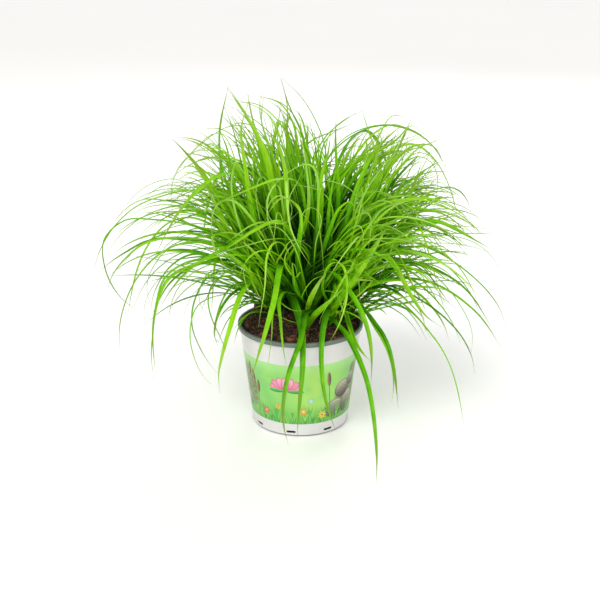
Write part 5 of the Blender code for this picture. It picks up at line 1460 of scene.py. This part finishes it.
fine_sets = {"left": Batch(), "right": Batch(), "middle": Batch()}
for number, (owner, tip_y, width, tint, points) in enumerate(FINE):
    base = shoot_base(owner)
    lean = SHOOTS[owner][2:]
    a = number * 2.4
    start = base + np.array([2.6 * math.cos(a), 2.6 * math.sin(a), -2.5])
    curve = lay_out(start, lean, points, tip_y, 1.2 if tip_y < -55 else 1.0, 48, 19.0)
    curve = ripple(curve, rng, 0.35)
    if not inside_box(curve):
        print("FINE", number, "leaves the box", curve.min(0), curve.max(0))
    curve[:, 2] = np.maximum(curve[:, 2], np.where(np.arange(len(curve)) > 6, 2.5, -1e9))
    across = sides_facing(curve, number) if width > 4.3 else sides(curve, 0.9 * math.sin(number * 1.3), 0.3, number)
    n = len(curve)
    where = points[-1][0] - 300
    key = "left" if where < -45 else "right" if where > 60 else "middle"
    fine_sets[key].blade(curve, across, taper(n, width, max(1.4, width * 0.75)), fold_of(n), tint, dry=0.6 if number % 6 == 0 else 0.2, thick=0.3)
    placed.append(curve)

# Where the plant is closed foliage when seen from the front.
CORE = [
    (212, 205), (205, 190), (205, 172), (212, 158), (219, 138), (224, 122), (240, 112), (262, 110), (292, 118), (312, 135),
    (334, 142), (352, 150), (370, 143), (392, 130), (415, 134), (434, 150), (442, 175), (446, 200), (452, 228), (446, 252),
    (430, 268), (405, 278), (388, 290), (370, 302), (360, 322), (335, 340), (300, 346), (262, 338), (244, 318), (240, 292), (216, 266), (202, 246), (200, 225),
]


def within(points, polygon):
    """Which points fall inside the polygon."""
    x, y = points[:, 0], points[:, 1]
    inside = np.zeros(len(points), bool)
    for (x0, y0), (x1, y1) in zip(polygon, polygon[1:] + polygon[:1]):
        crosses = (y0 > y) != (y1 > y)
        at = x0 + (y - y0) * (x1 - x0) / ((y1 - y0) or 1e-9)
        inside ^= crosses & (x < at)
    return inside


def sprays(owner, count, rng, length=(95, 240), end_tilt=(0.8, 2.7), swerve=0.8, spread=1.3, spans=34, start_tilt=(0.04, 0.45), toward=None):
    """Free blades: each leaves its shoot near upright and bends over towards its heading."""
    base = shoot_base(owner)
    x, y, lean_x, lean_y = SHOOTS[owner]
    outward = math.atan2(y - 18 + 0.01, x - 8) if toward is None else toward
    heading = outward + rng.normal(0, spread, count)
    length = rng.uniform(*length, count)
    start_tilt = rng.uniform(*start_tilt, count)
    end_tilt = rng.uniform(*end_tilt, count)
    power = rng.uniform(1.1, 2.4, count)
    swerve = rng.uniform(-swerve, swerve, count)
    a, r = rng.uniform(0, 2 * math.pi, count), rng.uniform(0.5, 3.2, count)
    start = base + np.stack([r * np.cos(a), r * np.sin(a), np.full(count, -2.5)], axis=1)
    t = ((np.arange(spans) + 0.5) / spans)[None, :]
    tilt = start_tilt[:, None] + (end_tilt - start_tilt)[:, None] * t ** power[:, None]
    way = heading[:, None] + swerve[:, None] * t * t
    pull = np.maximum(0.0, 1 - t * 3.5)
    direction = np.stack([
        np.sin(tilt) * np.cos(way) + pull * lean_x * 0.6,
        np.sin(tilt) * np.sin(way) + pull * lean_y * 0.6,
        np.cos(tilt),
    ], axis=2)
    walk = np.cumsum(unit(direction) * (length / spans)[:, None, None], axis=1)
    return np.concatenate([start[:, None, :], start[:, None, :] + walk], axis=1)


def clear_of_pot(curves):
    """Whether each blade stays out of the pot and above the soil once it has left its shoot."""
    r = np.hypot(curves[:, 4:, 0], curves[:, 4:, 1])
    z = curves[:, 4:, 2]
    return ~((r < 61.5) & (z < 103.0)).any(axis=1)


def usable(curves):
    """Blades that stay in the box, off the ground and out of the pot."""
    good = clear_of_pot(curves)
    good &= (curves > LOW + 4).all(axis=(1, 2)) & (curves < HIGH - 4).all(axis=(1, 2))
    return good & (curves[:, :, 2].min(axis=1) > 3.0)


def share_within(curves, polygon):
    return within(drawn_at(curves).reshape(-1, 2), polygon).reshape(curves.shape[:2]).mean(axis=1)


# Where blades reach out from the closed foliage, seen from the front.
ENVELOPE = [
    (236, 98), (219, 104), (214, 128), (196, 140), (177, 152), (168, 172), (150, 188), (126, 206), (106, 232), (100, 262),
    (112, 285), (122, 320), (140, 330), (150, 350), (162, 340), (170, 310), (190, 300), (206, 318), (222, 320), (236, 312),
    (244, 318), (262, 338), (300, 346), (335, 340), (360, 322), (372, 318), (396, 330), (420, 336), (450, 344), (474, 330),
    (490, 312), (482, 285), (478, 268), (498, 252), (494, 232), (476, 214), (462, 190), (450, 168), (442, 146), (424, 128),
    (396, 122), (376, 126), (356, 134), (340, 136), (322, 128), (300, 106), (286, 100), (262, 96),
]
# The plant's dark heart: from the front one looks between the blades at the ones behind.
HEART = [
    (250, 205), (258, 192), (275, 190), (292, 196), (306, 200), (322, 196), (338, 200), (352, 206), (350, 222), (338, 238),
    (322, 256), (316, 272), (326, 290), (322, 312), (312, 322), (296, 322), (286, 314), (281, 296), (285, 276), (268, 262), (252, 256), (246, 232),
]


def x_of(owner):
    return SHOOTS[owner][0]


def out_of_heart(curves):
    """Blades of which, past their lower part, hardly anything hangs before the heart."""
    upper = curves[:, curves.shape[1] // 4:]
    front = (upper[:, :, 1] < 16) & within(drawn_at(upper).reshape(-1, 2), HEART).reshape(upper.shape[:2])
    return front.mean(axis=1) < 0.12


foliage = {i: Batch() for i in range(len(SHOOTS))}
WANTED = {"closed": 42, "reaching": 9, "low": 5, "short": 8, "upper": 7, "curled": 4}
for owner, batch in foliage.items():
    rng = np.random.default_rng(300 + owner)
    left, right = owner in (2, 5, 6), owner in (4, 10, 12)
    picks = []

    def pick(kind, curves, good, wanted=None):
        picks.extend((kind, curves[k]) for k in np.flatnonzero(good)[:wanted or WANTED[kind]])

    some = sprays(owner, 8000, rng, swerve=1.4, spans=27)
    pick("closed", some, usable(some) & out_of_heart(some) & (share_within(some, CORE) > 0.985))
    some = sprays(owner, 9000, rng, length=(150, 290), end_tilt=(1.2, 2.7), swerve=0.6, spread=1.2)
    good = usable(some) & out_of_heart(some) & (share_within(some, ENVELOPE) > 0.985) & (share_within(some, CORE) < 0.90)
    pick("reaching", some, good, 12 if left else 5 if x_of(owner) >= 20 else None)
    some = sprays(owner, 5000, rng, length=(150, 240), end_tilt=(0.4, 1.4), swerve=0.9, spread=1.6, spans=30)
    pick("upper", some, usable(some) & out_of_heart(some) & (share_within(some, ENVELOPE) > 0.985) & (share_within(some, CORE) < 0.97))
    if left or right:
        toward = math.pi + 0.25 if left else -0.25
        some = sprays(owner, 5000, rng, length=(110, 210), end_tilt=(1.5, 2.6), swerve=0.5, spread=0.55, start_tilt=(0.6, 1.15), toward=toward)
        pick("low", some, usable(some) & (share_within(some, ENVELOPE) > 0.985))
        some = sprays(owner, 3000, rng, length=(45, 100), end_tilt=(1.2, 2.1), swerve=0.7, spread=0.7, start_tilt=(0.6, 1.2), toward=toward, spans=22)
        pick("short", some, usable(some) & (some[:, -1, 2] > 88), None if left else 4)
    some = sprays(owner, 7000, rng, length=(110, 220), end_tilt=(2.0, 3.6), swerve=3.4, spread=1.8)
    pick("curled", some, usable(some) & out_of_heart(some) & (share_within(some, CORE) > 0.985) & (some[:, -1, 1] < some[:, 0, 1] - 15), 1 if x_of(owner) > 20 else None)
    for kind, curve in picks:
        n = len(curve)
        # painted light and shade: blades that reach to the front are made paler, closed blades lying further back
        # deeper, and closed blades of the left-hand shoots paler
        forward = min(1.0, max(-1.0, (curve[0, 1] - curve[-1, 1]) / 90.0))
        if kind == "closed":
            inner = min(1.0, max(0.0, (np.median(curve[:, 1]) + 25) / 60.0))
            width, tint = rng.uniform(1.9, 4.2), rng.normal(0.46, 0.18) + 0.16 * forward - 0.30 * inner + 0.14 * left
        elif kind != "curled":
            width, tint = rng.uniform(1.7, 3.4), rng.normal(0.52, 0.16) + 0.08 * forward
        else:
            width, tint = rng.uniform(1.0, 1.9), rng.normal(0.78, 0.14)
        batch.blade(
            ripple(curve, rng, 0.5), sides(curve, rng.uniform(-1.2, 1.2), 0.3, rng.uniform(0, 6)),
            taper(n, width, min(width, 2.8)), fold_of(n), min(1.0, max(0.0, tint)), dry=0.6 if rng.uniform() < 0.08 else 0.12,
        )
        placed.append(curve)
    print("shoot", owner + 1, {k: sum(kind == k for kind, _ in picks) for k in WANTED})
for owner, batch in foliage.items():
    piece = batch.mesh(f"foliage_{owner + 1:02d}", leaf_mat)
    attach(piece, "root")
for key, batch in fine_sets.items():
    piece = batch.mesh(f"fine_blades_{key}", leaf_mat)
    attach(piece, "root")


# ---------------------------------------------------------- floor and lights
def floor_material():
    g = Graph("floor")
    cloud = g.noise(1.5, 3.0)
    g.put(g.shader.inputs["Base Color"], g.mix(cloud, (0.93, 0.925, 0.915), (0.955, 0.95, 0.94)))
    g.put(g.shader.inputs["Roughness"], g.math("MULTIPLY_ADD", cloud, 0.1, 0.6))
    return g.mat


mesh = bpy.data.meshes.new("floor")
mesh.from_pydata([(-8, -8, -0.0003), (8, -8, -0.0003), (8, 12, -0.0003), (-8, 12, -0.0003)], [], [(0, 1, 2, 3)])
mesh.materials.append(floor_material())
floor = bpy.data.objects.new("floor", mesh)
scene.collection.objects.link(floor)
floor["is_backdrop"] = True

world = bpy.data.worlds.new("studio") if not bpy.data.worlds else bpy.data.worlds[0]
scene.world = world
world.use_nodes = True
tree = world.node_tree
back = tree.nodes["Background"]
way = tree.nodes.new("ShaderNodeTexCoord")
split = tree.nodes.new("ShaderNodeSeparateXYZ")
band = tree.nodes.new("ShaderNodeMapRange")
band.interpolation_type = "SMOOTHSTEP"
tree.links.new(way.outputs["Generated"], split.inputs[0])
tree.links.new(split.outputs["Z"], band.inputs[0])
for socket, value in zip(band.inputs[1:5], (0.06, 0.40, 1.0, 0.62)):
    socket.default_value = value
tree.links.new(band.outputs[0], back.inputs["Strength"])
back.inputs["Color"].default_value = (1.0, 0.995, 0.985, 1)

key = bpy.data.lights.new("key", "SUN")
key.energy = 1.55
key.angle = math.radians(32)
key.color = (1.0, 0.99, 0.96)
key_at = bpy.data.objects.new("key", key)
key_at.rotation_euler = Vector((0.42, 0.62, -1.0)).to_track_quat("-Z", "Y").to_euler()
scene.collection.objects.link(key_at)


def area(name, at, aim, size, power, colour=(1, 1, 1)):
    light = bpy.data.lights.new(name, "AREA")
    light.shape = "DISK"
    light.size = size
    light.energy = power
    light.color = colour
    obj = bpy.data.objects.new(name, light)
    obj.location = at
    obj.rotation_euler = (Vector(aim) - Vector(at)).to_track_quat("-Z", "Y").to_euler()
    scene.collection.objects.link(obj)
    return obj


area("front", (0.35, -1.7, 0.75), (0, 0, 0.15), 0.9, 9.0)
area("rear", (0.4, 1.5, 1.2), (0, 0, 0.15), 1.0, 9.0)

camera = bpy.data.objects.new("camera", bpy.data.cameras.new("camera"))
camera.data.lens = 69.3
camera.data.sensor_width = 36.0
camera.data.clip_start, camera.data.clip_end = 0.05, 40.0
camera.location = (-VIEW_SHIFT * MM, -VIEW_DISTANCE * MM * math.cos(VIEW_PITCH), (VIEW_AIM_Z + VIEW_DISTANCE * math.sin(VIEW_PITCH)) * MM)
camera.rotation_euler = (math.pi / 2 - VIEW_PITCH, 0, 0)
scene.collection.objects.link(camera)
scene.camera = camera
scene.view_settings.view_transform = "Standard"
scene.view_settings.look = "None"
scene.view_settings.exposure = 0.0
